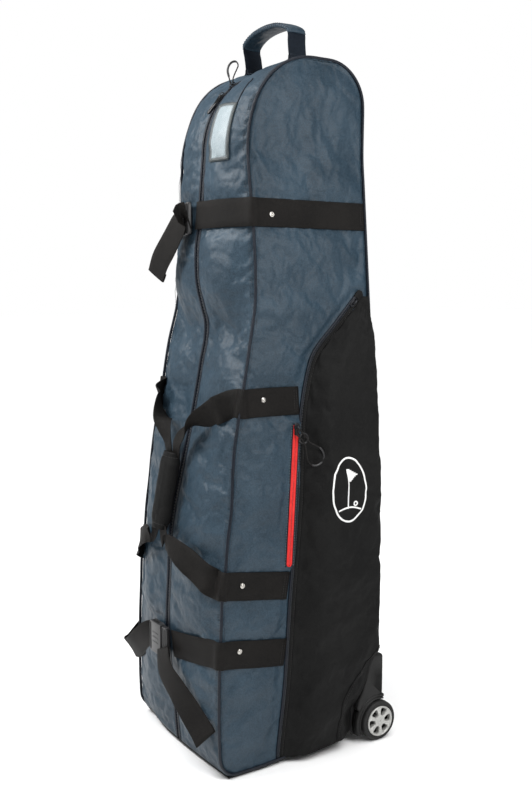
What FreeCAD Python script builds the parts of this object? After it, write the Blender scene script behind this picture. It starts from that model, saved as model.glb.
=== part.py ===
"""Wheeled golf travel case: a tall zipped fabric case on two rear wheels.

Millimetres, +Z up. The origin is on the floor, on the case's centre plane.
+X is the case's right side, -Y its front (main zip), +Y its flat back (wheels).
"""
import FreeCAD, Part
import math
import os
import Sketcher

Vec = FreeCAD.Vector
X_AXIS, Y_AXIS, Z_AXIS = Vec(1, 0, 0), Vec(0, 1, 0), Vec(0, 0, 1)

# ---------------------------------------------------------------- driving dimensions
DIMENSIONS = {
    "base_half_width": 168, "top_half_width": 112, "taper_start": 500, "taper_end": 1100,
    "back_depth": 167, "wall": 3, "seam_gap": 0.4,
    "hood_centre_depth": 55, "hood_centre_height": 1100, "hood_zip_radius": 160,
    "hood_seam_radius": 136, "crest_seam_radius": 167, "back_corner_radius": 75,
    "base_front_height": 4.5, "base_rear_height": 26.5, "foot_length": 70,
    "base_thickness": 4, "board_thickness": 3, "foam_thickness": 8,
    "piping_radius": 2.2, "zip_half_width": 8, "zip_thickness": 1.8,
    "webbing_width": 50, "webbing_thickness": 2.2, "handle_webbing_width": 38,
    "upper_strap_height": 992, "lower_strap_height": 219,
    "upper_carry_height": 663, "lower_carry_height": 342,
    "grip_length": 142, "grip_width": 50, "grip_thickness": 28,
    "rivet_radius": 4.5, "rivet_height": 2.5,
    "wheel_radius": 38, "tyre_bore": 30, "wheel_width": 20, "wheel_inner_side": 173.2,
    "wheel_depth": 165, "hub_bore": 11, "axle_radius": 4, "axle_clearance": 0.05,
    "bearing_width": 7, "cap_radius": 29, "cap_thickness": 2.5, "cap_slot_reach": 18,
    "cap_slot_radius": 4.6, "housing_plate": 2.4, "fender_inner": 41, "fender_outer": 51,
    "fender_width": 14, "boss_radius": 9, "guard_face": 186, "guard_back": 10,
    "guard_wrap": 150,
    "pocket_bulge": 26, "pocket_wall": 2.5, "pocket_rear_reach": 8,
    "buckle_half_height": 30, "buckle_depth": 12, "socket_length": 44, "plug_length": 20,
    "slider_length": 22, "slider_width": 12, "slider_height": 8.2,
    "card_width": 40, "card_length": 84, "card_thickness": 0.8,
}

# Height, side-seam depth and zip depth in front of the centre, floor to hood.
FRONT_STATIONS = [
    (4.5, 157, 181), (200, 174, 186), (400, 158, 180), (600, 134, 146),
    (800, 90, 114), (950, 78, 119), (1100, 81, 105),
]

document = FreeCAD.newDocument("GolfTravelCase")
sheet = document.addObject("Spreadsheet::Sheet", "Dims")
NODES = {}


def fill_sheet():
    """Write every driving dimension and station to the sheet with an alias."""
    cells = dict(DIMENSIONS)
    for number, (height, seam, front) in enumerate(FRONT_STATIONS):
        cells[f"station_height_{number}"] = height
        cells[f"station_seam_{number}"] = seam
        cells[f"station_zip_{number}"] = front
    for row, (alias, value) in enumerate(cells.items(), start=1):
        sheet.set(f"A{row}", alias)
        sheet.set(f"B{row}", str(value))
        sheet.setAlias(f"B{row}", alias)
    document.recompute()


def dim(alias):
    """A driving dimension, read back from the sheet."""
    return float(sheet.get(alias))


# ---------------------------------------------------------------- case form
def interpolate(height, column):
    """A station column at a height, linear between stations."""
    rows = range(len(FRONT_STATIONS))
    heights = [dim(f"station_height_{row}") for row in rows]
    values = [dim(f"station_{column}_{row}") for row in rows]
    for low in range(len(heights) - 1):
        if height <= heights[low + 1]:
            share = (height - heights[low]) / (heights[low + 1] - heights[low])
            return values[low] + share * (values[low + 1] - values[low])
    return values[-1]


def half_width(height):
    """Half of the case's width: straight, then tapered, then straight."""
    share = (height - dim("taper_start")) / (dim("taper_end") - dim("taper_start"))
    share = min(1.0, max(0.0, share))
    return dim("base_half_width") + share * (dim("top_half_width") - dim("base_half_width"))


def front_depth(x, height, lift=0.0):
    """Y of the front panels' outer face at x and height, moved out by lift."""
    seam, front = interpolate(height, "seam"), interpolate(height, "zip")
    share = min(1.0, abs(x) / half_width(height))
    return -(seam + (front - seam) * (1 - share ** 2)) - lift


def hood_point(x, angle, lift=0.0):
    """A point on the hood's outer face; angle 0 faces front, 90 is the crest."""
    bend = math.radians(angle)
    seam = dim("hood_seam_radius")
    seam += (dim("crest_seam_radius") - seam) * math.sin(bend) ** 2
    share = min(1.0, abs(x) / dim("top_half_width"))
    radius = seam + (dim("hood_zip_radius") - seam) * (1 - share ** 2) + lift
    return Vec(x, dim("hood_centre_depth") - radius * math.cos(bend),
               dim("hood_centre_height") + radius * math.sin(bend))


def base_height(y):
    """Underside of the side walls: level over the foot, then rising to the wheels."""
    start = -dim("station_seam_0") + dim("foot_length")
    share = min(1.0, max(0.0, (y - start) / (dim("back_depth") - start)))
    return dim("base_front_height") + share * (dim("base_rear_height") - dim("base_front_height"))


# ---------------------------------------------------------------- shape helpers
def loft(sections):
    """One closed solid through planar polygons with equal point counts."""
    wires = [Part.makePolygon(list(points) + [points[0]]) for points in sections]
    solid = Part.makeLoft(wires, True, True)
    if solid.Volume < 0:
        solid.reverse()
    return solid


def ribbon(points, sides, width, thickness):
    """Flat band through points; each side vector is the band's width direction."""
    sections = []
    for number, (point, side) in enumerate(zip(points, sides)):
        before, after = points[max(number - 1, 0)], points[min(number + 1, len(points) - 1)]
        along = (after - before).normalize()
        side = (side - along * side.dot(along)).normalize()
        outward = side.cross(along).normalize() * thickness
        half = side * (width / 2)
        sections.append([point - half, point + half, point + half + outward,
                         point - half + outward])
    return loft(sections)


def round_tube(points, radius, sides=10):
    """Round bar through points, as a many-sided closed solid."""
    sections = []
    for number, point in enumerate(points):
        before, after = points[max(number - 1, 0)], points[min(number + 1, len(points) - 1)]
        along = (after - before).normalize()
        first = along.cross(X_AXIS)
        first = first.normalize() if first.Length > 0.2 else along.cross(Y_AXIS).normalize()
        second = along.cross(first)
        turns = [2 * math.pi * step / sides for step in range(sides)]
        sections.append([point + first * (radius * math.cos(turn))
                         + second * (radius * math.sin(turn)) for turn in turns])
    return loft(sections)


def free_form(label, shape):
    """A sub-part whose soft form fits neither a sketch nor a primitive."""
    feature = document.addObject("Part::Feature", label)
    feature.Shape = shape
    feature.Placement = FreeCAD.Placement()
    return name_node(label, feature)


def name_node(label, feature):
    feature.Label = label
    NODES[label] = feature
    return feature


def mirrored(label, source):
    """The left-hand twin of a right-hand sub-part."""
    twin = document.addObject("Part::Mirroring", label)
    twin.Source = source
    twin.Normal = X_AXIS
    return name_node(label, twin)


def bar_x(name, radius, start, length, y, z):
    """A Part::Cylinder along X."""
    bar = document.addObject("Part::Cylinder", name)
    bar.setExpression("Radius", f"{radius}")
    bar.setExpression("Height", f"{length}")
    bar.Placement.Rotation = FreeCAD.Rotation(Y_AXIS, 90)
    for axis, value in zip("xyz", (start, y, z)):
        bar.setExpression(f".Placement.Base.{axis}", f"{value}")
    return bar


def cut(name, base, tool):
    result = document.addObject("Part::Cut", name)
    result.Base, result.Tool = base, tool
    return result


def fuse(name, pieces):
    result = document.addObject("Part::MultiFuse", name)
    result.Shapes = pieces
    result.Refine = False
    return result


def group(name, pieces):
    """Separate identical pieces kept in one node."""
    result = document.addObject("Part::Compound", name)
    result.Links = pieces
    return result


# ---------------------------------------------------------------- fabric shell
def side_outline():
    """Side panel outline in the YZ plane, inside the front and back panels."""
    inset = dim("wall") + dim("seam_gap")
    centre = Vec(0, dim("hood_centre_depth"), dim("hood_centre_height"))
    back = dim("back_depth") - inset
    points = []
    for number in range(len(FRONT_STATIONS) - 1):
        height = dim(f"station_height_{number}")
        points.append(Vec(0, inset - dim(f"station_seam_{number}"), height))
    for angle in range(0, 91, 10):
        bend = math.radians(angle)
        edge = hood_point(dim("top_half_width"), angle, -inset)
        points.append(Vec(0, edge.y, edge.z) if angle else
                      centre + Vec(0, -(dim("hood_seam_radius") - inset) * math.cos(bend), 0))
    corner = dim("back_corner_radius")
    crest = points[-1].z
    for angle in range(0, 91, 15):
        bend = math.radians(angle)
        points.append(Vec(0, back - corner + corner * math.sin(bend),
                          crest - corner + corner * math.cos(bend)))
    points.append(Vec(0, back, base_height(back)))
    points.append(Vec(0, points[0].y + dim("foot_length"), dim("base_front_height")))
    return points


def wall_band(outer_lift, inner_lift):
    """The tapering side wall's XZ section, extruded over the case's whole depth."""
    reach = 1400
    heights = [0, dim("taper_start"), dim("taper_end"), reach]
    outer = [Vec(half_width(height) + outer_lift, -reach, height) for height in heights]
    inner = [Vec(half_width(height) + inner_lift, -reach, height) for height in heights]
    points = outer + inner[::-1]
    face = Part.Face(Part.makePolygon(points + [points[0]]))
    return face.extrude(Vec(0, 2 * reach, 0))


def prism_x(points, start, end):
    """A YZ outline extruded along X."""
    moved = [Vec(start, point.y, point.z) for point in points]
    return Part.Face(Part.makePolygon(moved + [moved[0]])).extrude(Vec(end - start, 0, 0))


def make_side_panels():
    panel = prism_x(side_outline(), 60, 260).common(wall_band(0, -dim("wall")))
    right = free_form("side_panel_right", panel)
    mirrored("side_panel_left", right)


def front_section(height):
    """Front panel section at a height: outer curve out, inner curve back."""
    start, end = dim("zip_half_width") + dim("seam_gap"), half_width(height)
    steps = [start + (end - start) * share / 6 for share in range(7)]
    outer = [Vec(x, front_depth(x, height), height) for x in steps]
    inner = [point + Vec(0, dim("wall"), 0) for point in outer]
    return outer + inner[::-1]


def hood_section(angle):
    start, end = dim("zip_half_width") + dim("seam_gap"), dim("top_half_width")
    steps = [start + (end - start) * share / 6 for share in range(7)]
    outer = [hood_point(x, angle) for x in steps]
    inner = [hood_point(x, angle, -dim("wall")) for x in steps]
    return outer + inner[::-1]


def make_front_panels():
    heights = [dim(f"station_height_{row}") for row in range(len(FRONT_STATIONS))]
    heights = sorted(set(heights + [dim("taper_start"), dim("taper_end")]))
    sections = [front_section(height) for height in heights[:-1]]
    sections += [hood_section(angle) for angle in range(0, 91, 10)]
    right = free_form("front_panel_right", loft(sections))
    mirrored("front_panel_left", right)


def make_back_panel():
    """Back panel: over the crest, round the back corner and down to the base."""
    wall, corner = dim("wall"), dim("back_corner_radius")
    crest = dim("hood_centre_height") + dim("crest_seam_radius")
    back = dim("back_depth")
    path = [(Vec(0, dim("hood_centre_depth") + dim("seam_gap"), crest), Z_AXIS)]
    for angle in range(0, 91, 15):
        outward = Vec(0, math.sin(math.radians(angle)), math.cos(math.radians(angle)))
        path.append((Vec(0, back - corner, crest - corner) + outward * corner, outward))
    for height in (dim("taper_end"), dim("taper_start"), dim("base_rear_height")):
        path.append((Vec(0, back, height), Y_AXIS))
    sections = []
    for point, outward in path:
        side = X_AXIS * half_width(point.z)
        inner = point - outward * wall
        sections.append([point - side, point + side, inner + side, inner - side])
    free_form("back_panel", loft(sections))


def make_base():
    """Base panel with a level, bowed front foot, and the stiff board lying on it."""
    thick, gap = dim("base_thickness"), dim("seam_gap")
    half, back = dim("base_half_width"), dim("back_depth")
    seam = -dim("station_seam_0")
    knee = seam + dim("foot_length")
    rear = dim("base_rear_height") - gap
    nose = seam - 60
    profile = prism_x([Vec(0, nose, 0), Vec(0, knee, 0), Vec(0, back, rear - thick),
                       Vec(0, back, rear), Vec(0, knee, thick), Vec(0, nose, thick)],
                      -half, half)
    bow = [half * share / 4 for share in range(-4, 5)]
    outline = [Vec(x, front_depth(x, dim("base_front_height")), -10) for x in bow]
    outline += [Vec(half, back, -10), Vec(-half, back, -10)]
    plan = Part.Face(Part.makePolygon(outline + [outline[0]])).extrude(Vec(0, 0, 80))
    free_form("base_panel", profile.common(plan))
    inset = dim("wall") + 2
    low = [Vec(0, seam + inset, thick + gap), Vec(0, knee, thick + gap),
           Vec(0, back - inset, rear + gap)]
    top = [point + Vec(0, 0, dim("board_thickness")) for point in low]
    board_half = half - dim("wall") - 2
    free_form("base_board", prism_x(low + top[::-1], -board_half, board_half))


def make_liners():
    """Back stiffening board and the foam that pads the hood."""
    back = dim("back_depth") - dim("wall") - 1
    low, high = 45, 1080
    narrow, wide = half_width(high) - 10, half_width(low) - 10
    outline = [Vec(-wide, back, low), Vec(wide, back, low),
               Vec(half_width(dim("taper_start")) - 10, back, dim("taper_start")),
               Vec(narrow, back, high), Vec(-narrow, back, high),
               Vec(-half_width(dim("taper_start")) + 10, back, dim("taper_start"))]
    face = Part.Face(Part.makePolygon(outline + [outline[0]]))
    free_form("back_board", face.extrude(Vec(0, -dim("board_thickness"), 0)))
    inner = dim("crest_seam_radius") - dim("wall") - 4
    sections = []
    for angle in range(45, 91, 9):
        bend = math.radians(angle)
        ray = Vec(0, -math.cos(bend), math.sin(bend))
        centre = Vec(0, dim("hood_centre_depth"), dim("hood_centre_height"))
        side = X_AXIS * (dim("top_half_width") - 12)
        outer_point = centre + ray * (inner - 12)
        inner_point = outer_point - ray * dim("foam_thickness")
        sections.append([outer_point - side, outer_point + side,
                         inner_point + side, inner_point - side])
    free_form("hood_foam", loft(sections))


def make_piping():
    """Corded piping round each side panel's edge, floor to crest to floor."""
    lift = dim("piping_radius") * 0.85
    points = []
    for number in range(len(FRONT_STATIONS) - 1):
        height = max(dim(f"station_height_{number}"), 10)
        points.append(Vec(half_width(height) + lift, -dim(f"station_seam_{number}") - lift,
                          height))
    points.insert(3, Vec(half_width(500) + lift, -interpolate(500, "seam") - lift, 500))
    for angle in range(0, 91, 10):
        edge = hood_point(dim("top_half_width"), angle, lift)
        points.append(edge + Vec(lift, 0, 0))
    corner, back = dim("back_corner_radius"), dim("back_depth")
    crest = dim("hood_centre_height") + dim("crest_seam_radius")
    for angle in range(15, 91, 15):
        bend = math.radians(angle)
        points.append(Vec(dim("top_half_width") + lift,
                          back - corner + (corner + lift) * math.sin(bend),
                          crest - corner + (corner + lift) * math.cos(bend)))
    for height in (1100, 500, 215):
        points.append(Vec(half_width(height) + lift, back + lift, height))
    tube = round_tube(points, dim("piping_radius"))
    twin = tube.mirror(Vec(0, 0, 0), X_AXIS)
    free_form("side_piping", Part.makeCompound([tube, twin]))


# ---------------------------------------------------------------- main zip
def make_main_zip():
    """Two zip tapes, from the front foot up and over the hood to the top handle."""
    width, thick, gap = dim("zip_half_width") - 0.2, dim("zip_thickness"), dim("seam_gap")
    middle = 0.2 + width / 2
    sections = []
    for number in range(len(FRONT_STATIONS) - 1):
        height = dim(f"station_height_{number}")
        depth = -dim(f"station_zip_{number}")
        sections.append([Vec(middle - width / 2, depth, height),
                         Vec(middle + width / 2, depth, height),
                         Vec(middle + width / 2, depth + thick, height),
                         Vec(middle - width / 2, depth + thick, height)])
    for angle in range(0, 81, 8):
        bend = math.radians(angle)
        centre = Vec(0, dim("hood_centre_depth"), dim("hood_centre_height"))
        ray = Vec(0, -math.cos(bend), math.sin(bend))
        outer = centre + ray * (dim("hood_zip_radius") - gap)
        inner = outer - ray * thick
        sections.append([outer + X_AXIS * 0.2, outer + X_AXIS * (0.2 + width),
                         inner + X_AXIS * (0.2 + width), inner + X_AXIS * 0.2])
    right = free_form("main_zip_tape_right", loft(sections))
    mirrored("main_zip_tape_left", right)


def slider_shape():
    """Zip slider lying on +Z with its travel along Y: plate and bail with an eye."""
    long, wide, high = dim("slider_length"), dim("slider_width"), dim("slider_height")
    plate = Part.makeBox(wide, long, PLATE_THICKNESS, Vec(-wide / 2, -long / 2, 0))
    corners = [edge for edge in plate.Edges
               if abs(edge.Vertexes[0].Z - edge.Vertexes[1].Z) > 1]
    plate = plate.makeFillet(2.4, corners)
    bail = Part.makeBox(3, long * 0.6, high - PLATE_THICKNESS + 0.1,
                        Vec(-1.5, -long * 0.3, PLATE_THICKNESS - 0.1))
    eye = Part.makeBox(5, long * 0.4, 4, Vec(-2.5, -long * 0.2, EYE_HEIGHT - 2))
    return plate.fuse(bail.cut(eye))


def slider_at(label, place):
    feature = document.addObject("Part::Feature", label)
    feature.Shape = slider_shape()
    feature.Placement = place
    return name_node(label, feature)


def hood_place(angle, lift):
    """Placement on the hood's zip line: +Z outward, +Y along the zip upward."""
    bend = math.radians(angle)
    ray = Vec(0, -math.cos(bend), math.sin(bend))
    up = Vec(0, math.sin(bend), math.cos(bend))
    centre = Vec(0, dim("hood_centre_depth"), dim("hood_centre_height"))
    turn = FreeCAD.Rotation(up.cross(ray), up, ray, "ZYX")
    return FreeCAD.Placement(centre + ray * (dim("hood_zip_radius") + lift), turn)


UPPER_SLIDER_ANGLE = 52.5
LOWER_SLIDER_ANGLE = 41.5
SLIDER_LIFT = 0.5

PLATE_THICKNESS = 1.8
EYE_HEIGHT = 4.4

# Cord pulls: each route starts and ends in its slider's eye, in the slider's own
# frame (Y along the zip, Z outward from the fabric).
UPPER_PULL_ROUTE = [(0.2, 0, 4.4), (3.9, 0.1, 4.5), (3.8, 4, 11.5), (2.6, 12.7, 16.1),
                    (4.6, 21.2, 20.9), (6.4, 28.4, 25.2), (4.3, 30.4, 32.6), (0, 25, 36.4),
                    (-3.8, 16.1, 34.2), (-5, 8.9, 27.8), (-3.8, 5.2, 19.6), (-3.8, 2, 11.5),
                    (-3.9, 0.1, 4.5), (-0.2, 0, 4.4)]
LOWER_PULL_ROUTE = [(0.2, 0, 4.4), (3.9, -0.4, 4.7), (3.6, -8, 4.6), (-1, -18, 1.8),
                    (-7, -28, -0.2), (-10.5, -37.5, -1.8), (-16.5, -36, -1.6),
                    (-13, -26, 0.2), (-7.4, -16, 2.2), (-4.2, -8, 4.6), (-3.9, -0.4, 4.7),
                    (-0.2, 0, 4.4)]
CORD_RADIUS = 1.2


def rounded_route(route):
    """Straight runs joined by tangent arcs, as a wire and its corner radii."""
    points = [Vec(*point) for point in route]
    edges, radii, start = [], [], points[0]
    for before, corner, after in zip(points, points[1:], points[2:]):
        back, onward = (before - corner), (after - corner)
        reach = 0.45 * min(back.Length, onward.Length)
        back.normalize()
        onward.normalize()
        turn = math.pi - math.acos(max(-1.0, min(1.0, back.dot(onward))))
        radius = reach / math.tan(turn / 2)
        first, last = corner + back * reach, corner + onward * reach
        bisector = (back + onward).normalize()
        middle = corner + bisector * (math.hypot(radius, reach) - radius)
        edges.append(Part.LineSegment(start, first).toShape())
        edges.append(Part.Arc(first, middle, last).toShape())
        radii.append(round(radius, 1))
        start = last
    edges.append(Part.LineSegment(start, points[-1]).toShape())
    return Part.Wire(edges), radii


def cord_tube(name, route, radius):
    """Round cord along a rounded route; prints its length and corner radii."""
    wire, radii = rounded_route(route)
    first = wire.Edges[0]
    along = (first.Vertexes[-1].Point - first.Vertexes[0].Point).normalize()
    ring = Part.Wire(Part.Circle(Vec(*route[0]), along, radius).toShape())
    tube = wire.makePipeShell([ring], True, False, 2)
    section = math.pi * radius ** 2
    print(name, "length", round(wire.Length, 1), "radii", radii,
          "volume ratio", round(abs(tube.Volume) / (section * wire.Length), 3))
    return tube


def make_main_sliders():
    """Two sliders meeting nose to nose under the crest, each with a cord pull."""
    upper = hood_place(UPPER_SLIDER_ANGLE, SLIDER_LIFT)
    lower = hood_place(LOWER_SLIDER_ANGLE, SLIDER_LIFT)
    slider_at("main_slider_upper", upper)
    slider_at("main_slider_lower", lower)
    for label, place, route in (("main_pull_upper", upper, UPPER_PULL_ROUTE),
                                ("main_pull_lower", lower, LOWER_PULL_ROUTE)):
        pull_on(label, place, route)


def pull_on(label, place, route):
    """A cord pull placed on a slider; prints the route and its hinge in the part's frame."""
    world = [tuple(place.multVec(Vec(*point))) for point in route]
    print(label, "route", [tuple(round(value, 1) for value in point) for point in world])
    eye = place.multVec(Vec(0, 0, EYE_HEIGHT))
    print(label, "eye", [round(value, 2) for value in eye])
    free_form(label, cord_tube(label, world, CORD_RADIUS))


# ---------------------------------------------------------------- side pocket and its zips
# Pocket edge on the side wall, floor to top, as (depth, height).
POCKET_EDGE = [(-50, 26), (-36, 144), (-25, 307), (-14, 430), (-7, 529), (2, 617), (10, 661),
               (22, 704), (38, 742), (150, 854)]
ZIP_BAND = 14


def pocket_edge_depth(height):
    for (low_y, low), (high_y, high) in zip(POCKET_EDGE, POCKET_EDGE[1:]):
        if height <= high:
            return low_y + (high_y - low_y) * (height - low) / (high - low)
    return POCKET_EDGE[-1][0]


def guard_outline(margin):
    """Corner guard outline on the side wall: wheel arch with a tongue above."""
    back = dim("back_depth") + dim("guard_back") + margin
    return [Vec(0, 108 - margin, 14 - margin), Vec(0, 104 - margin, 62),
            Vec(0, 116 - margin, 92), Vec(0, 134 - margin, 122), Vec(0, 143 - margin, 150),
            Vec(0, 152, 168 + margin), Vec(0, back, 168 + margin), Vec(0, back, 14 - margin)]


def band_reach(height):
    """Half the zip band's width measured level, where the band slants at a height."""
    spans = [math.hypot(high_y - low_y, high - low) / (high - low)
             for (low_y, low), (high_y, high) in zip(POCKET_EDGE, POCKET_EDGE[1:])
             if low - 1 <= height <= high + 1]
    return ZIP_BAND / 2 * max(spans)


def pocket_section(height):
    """Raised pocket panel, open towards the side wall, at a height."""
    wall, gap = dim("pocket_wall"), dim("seam_gap")
    face = half_width(height) + gap
    start = pocket_edge_depth(height) + band_reach(height) + gap
    end = dim("back_depth") - 1
    length = end - start
    bulge = dim("pocket_bulge") * min(1.0, length / 90)
    ramp = min(48.0, 0.42 * length)
    rear = min(dim("pocket_rear_reach"), 0.2 * length)
    outer = [(start, face + wall * 0.4), (start + ramp, face + bulge),
             (end - rear, face + bulge), (end, face + wall * 0.4)]
    inner = [(end - wall, face), (end - rear - wall * 0.6, face + bulge - wall),
             (start + ramp + wall * 0.4, face + bulge - wall), (start + wall * 1.6, face)]
    return [Vec(x, y, height) for y, x in outer + inner]


def make_pocket():
    """Pocket panel above the wheel, cut clear of the corner guard."""
    heights = [height for _, height in POCKET_EDGE[:-1]] + [dim("taper_start"), 800, 838]
    shell = loft([pocket_section(height) for height in sorted(heights)])
    tool = prism_x(guard_outline(1.0), 160, 230)
    arch = Part.makeCylinder(dim("fender_outer") + 1, 70,
                             Vec(160, dim("wheel_depth"), dim("wheel_radius")), X_AXIS)
    right = free_form("side_pocket_right", shell.cut(tool).cut(arch))
    mirrored("side_pocket_left", right)


def wall_slope(height):
    """How fast the side wall leans in with height."""
    step = 10
    return (half_width(height + step) - half_width(height - step)) / (2 * step)


def edge_band(edge, width, lift, thickness):
    """Flat band lying on the side wall along a list of (depth, height) points."""
    points = [Vec(half_width(height) + lift, depth, height) for depth, height in edge]
    sections = []
    for number, point in enumerate(points):
        before, after = points[max(number - 1, 0)], points[min(number + 1, len(points) - 1)]
        side = (after - before).cross(X_AXIS).normalize() * (width / 2)
        side.x = side.z * wall_slope(point.z)
        out = X_AXIS * thickness
        sections.append([point - side, point + side, point + side + out, point - side + out])
    return loft(sections)


def make_pocket_zips():
    """Curved pocket zips, right and left, with their sliders under the top garage."""
    edge = list(POCKET_EDGE)
    taper = dim("taper_start")
    edge.insert(4, (pocket_edge_depth(taper), taper))
    band = edge_band(edge, ZIP_BAND - 1, 0.3, dim("zip_thickness"))
    twin = band.mirror(Vec(0, 0, 0), X_AXIS)
    free_form("pocket_zips", Part.makeCompound([band, twin]))
    top, low = Vec(*pocket_point(146, 850)), Vec(*pocket_point(42, 746))
    up = (top - low).normalize()
    out = X_AXIS - up * X_AXIS.dot(up)
    out.normalize()
    turn = FreeCAD.Rotation(up.cross(out), up, out, "ZYX")
    lift = 0.3 + dim("zip_thickness") + SLIDER_LIFT
    right = slider_at("pocket_slider_right", FreeCAD.Placement(top - up * 20 + out * lift, turn))
    mirrored("pocket_slider_left", right)
    print("pocket slider direction", [round(-value, 5) for value in up])


def pocket_point(depth, height):
    return half_width(height), depth, height


# Accent zip: one straight line on the right side, standing on the wall's bend.
ACCENT_TOP = (163.9, -13.5, 622)
ACCENT_LOW = (175.4, -35.5, 368)


def accent_frame():
    """Unit vectors along the accent zip (down), outward and sideways."""
    down = (Vec(*ACCENT_LOW) - Vec(*ACCENT_TOP)).normalize()
    out = X_AXIS - down * X_AXIS.dot(down)
    out.normalize()
    return down, out, down.cross(out)


def make_accent_zip():
    """Bright accent zip beside the pocket, with a slider and a looped pull."""
    down, out, side = accent_frame()
    top, low = Vec(*ACCENT_TOP), Vec(*ACCENT_LOW)
    free_form("accent_zip", ribbon([top, (top + low) * 0.5, low], [side] * 3, 12,
                                   dim("zip_thickness")))
    place_at = top + down * 9 + out * (dim("zip_thickness") + SLIDER_LIFT)
    turn = FreeCAD.Rotation((down * -1).cross(out), down * -1, out, "ZYX")
    place = FreeCAD.Placement(place_at, turn)
    slider_at("accent_slider", place)
    centre = place.multVec(Vec(*ACCENT_RING_CENTRE))
    free_form("accent_ring", Part.makeTorus(ACCENT_RING_RADIUS, CORD_RADIUS * 0.9, centre, out))
    pull_on("accent_pull", place, ACCENT_PULL_ROUTE)
    print("accent down", [round(value, 5) for value in down], "out", out, "side",
          (down * -1).cross(out))


ACCENT_PULL_ROUTE = [(0.2, 0, 4.4), (3.9, -0.4, 4.7), (9.5, -7, 7), (17.5, -16, 9),
                     (25, -24, 9.5), (36, -28, 11.5), (49, -35, 14), (53.5, -49, 15),
                     (46, -62, 14), (31, -65, 11.5), (20.5, -56, 10), (17.5, -43, 9.5),
                     (15.5, -32, 9.2), (11, -22, 8.5), (5, -15, 7), (-2.2, -11, 5.4),
                     (-5, -5.5, 4.8), (-3.9, -0.4, 4.7), (-0.2, 0, 4.4)]
ACCENT_RING_CENTRE = (13.5, -16, 4.6)
ACCENT_RING_RADIUS = 9


# ---------------------------------------------------------------- identity window
def surface_patch(low_x, high_x, heights, angles, low, high, columns=3):
    """Closed patch lying over the front panel between two lifts."""
    steps = [low_x + (high_x - low_x) * share / columns for share in range(columns + 1)]
    sections = []
    for height in heights:
        outer = [Vec(x, front_depth(x, height, high), height) for x in steps]
        inner = [Vec(x, front_depth(x, height, low), height) for x in steps]
        sections.append(outer + inner[::-1])
    for angle in angles:
        outer = [hood_point(x, angle, high) for x in steps]
        inner = [hood_point(x, angle, low) for x in steps]
        sections.append(outer + inner[::-1])
    return loft(sections)


WINDOW_LEFT, WINDOW_RIGHT, WINDOW_LOW, WINDOW_TOP = 27, 79, 1083, 31
BINDING = 6


def make_identity_window():
    """Bound window frame, clear film and the card between film and panel."""
    angles = [0, 9, 18, 27]
    left = surface_patch(WINDOW_LEFT, WINDOW_LEFT + BINDING, [WINDOW_LOW],
                         angles + [WINDOW_TOP], 0.6, 2.6, 1)
    right = surface_patch(WINDOW_RIGHT - BINDING, WINDOW_RIGHT, [WINDOW_LOW],
                          angles + [WINDOW_TOP], 0.6, 2.6, 1)
    inner_left, inner_right = WINDOW_LEFT + BINDING, WINDOW_RIGHT - BINDING
    bottom = surface_patch(inner_left, inner_right, [WINDOW_LOW, WINDOW_LOW + BINDING], [],
                           0.6, 2.6)
    top = surface_patch(inner_left, inner_right, [], [WINDOW_TOP - 2.2, WINDOW_TOP], 0.6, 2.6)
    free_form("id_window_frame", Part.makeCompound([left, right, bottom, top]))
    spans = (inner_left + 0.3, inner_right - 0.3, [WINDOW_LOW + BINDING + 0.4],
             angles + [WINDOW_TOP - 2.6])
    free_form("id_card", surface_patch(*spans, 0.5, 1.1))
    free_form("id_window", surface_patch(*spans, 1.6, 2.1))


# ---------------------------------------------------------------- top handle
HANDLE_DEPTH = 46
HANDLE_PIVOT = 1287


def make_top_handle():
    """Webbing loop over the crest with a padded wrap; sewn foot tabs hold it."""
    width, thick = dim("handle_webbing_width"), dim("webbing_thickness")
    foot_z = 1267.5
    tab_x = 74
    tabs = []
    for sign in (1, -1):
        low = Vec(sign * (tab_x + 1.0), HANDLE_DEPTH, foot_z)
        high = Vec(sign * tab_x, HANDLE_DEPTH, HANDLE_PIVOT)
        tabs.append(ribbon([low, high], [Y_AXIS, Y_AXIS], width, thick * sign))
    free_form("top_handle_feet", Part.makeCompound(tabs))
    path = [(71, HANDLE_PIVOT - 1), (71.3, 1304), (73, 1316), (64, 1326), (42, 1334), (14, 1337.5)]
    path += [(-x, z) for x, z in reversed(path)]
    points = [Vec(x, HANDLE_DEPTH, z) for x, z in path]
    band = ribbon(points, [Y_AXIS] * len(points), width, thick)
    free_form("top_handle_webbing", band)
    pad_path = [(71, 1319.5), (63, 1327.5), (42, 1335.5), (14, 1339)]
    pad_path += [(-x, z) for x, z in reversed(pad_path)]
    points = [Vec(x, HANDLE_DEPTH, z + 1.5) for x, z in pad_path]
    pad = ribbon(points, [Y_AXIS] * len(points), width + 3, 5)
    free_form("top_handle_wrap", pad.cut(band))


# ---------------------------------------------------------------- straps
TILT = 0.15


def wrap_path(height, start_depth, end_x, lift, tilt=0.0):
    """Points and width directions round the front-right corner at a height.

    A tilted strap falls towards the back, and from the corner towards the middle.
    """
    seam = -interpolate(height, "seam")
    half = half_width(height)
    wall_side = Vec(wall_slope(height), tilt, 1)
    low = height - tilt * (start_depth + 100)
    high = height - tilt * (seam + 100)
    points = [Vec(half_width(low) + lift, start_depth, low),
              Vec(half_width(high) + lift, seam + 6, high)]
    sides = [wall_side, wall_side]
    clear = lift + 4.5
    points.append(Vec(half + clear * 0.95, seam - clear * 0.5, high))
    sides.append(wall_side)
    points.append(Vec(half - 6, front_depth(half - 6, high, clear), high))
    sides.append(front_side(half - 6, high))
    steps = 6
    for step in range(1, steps + 1):
        x = half - 6 + (end_x - half + 6) * step / steps
        z = high - tilt * 0.95 * (half - 6 - x)
        points.append(Vec(x, front_depth(x, z, lift + 1.5), z))
        sides.append(front_side(x, z))
    return points, sides


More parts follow.
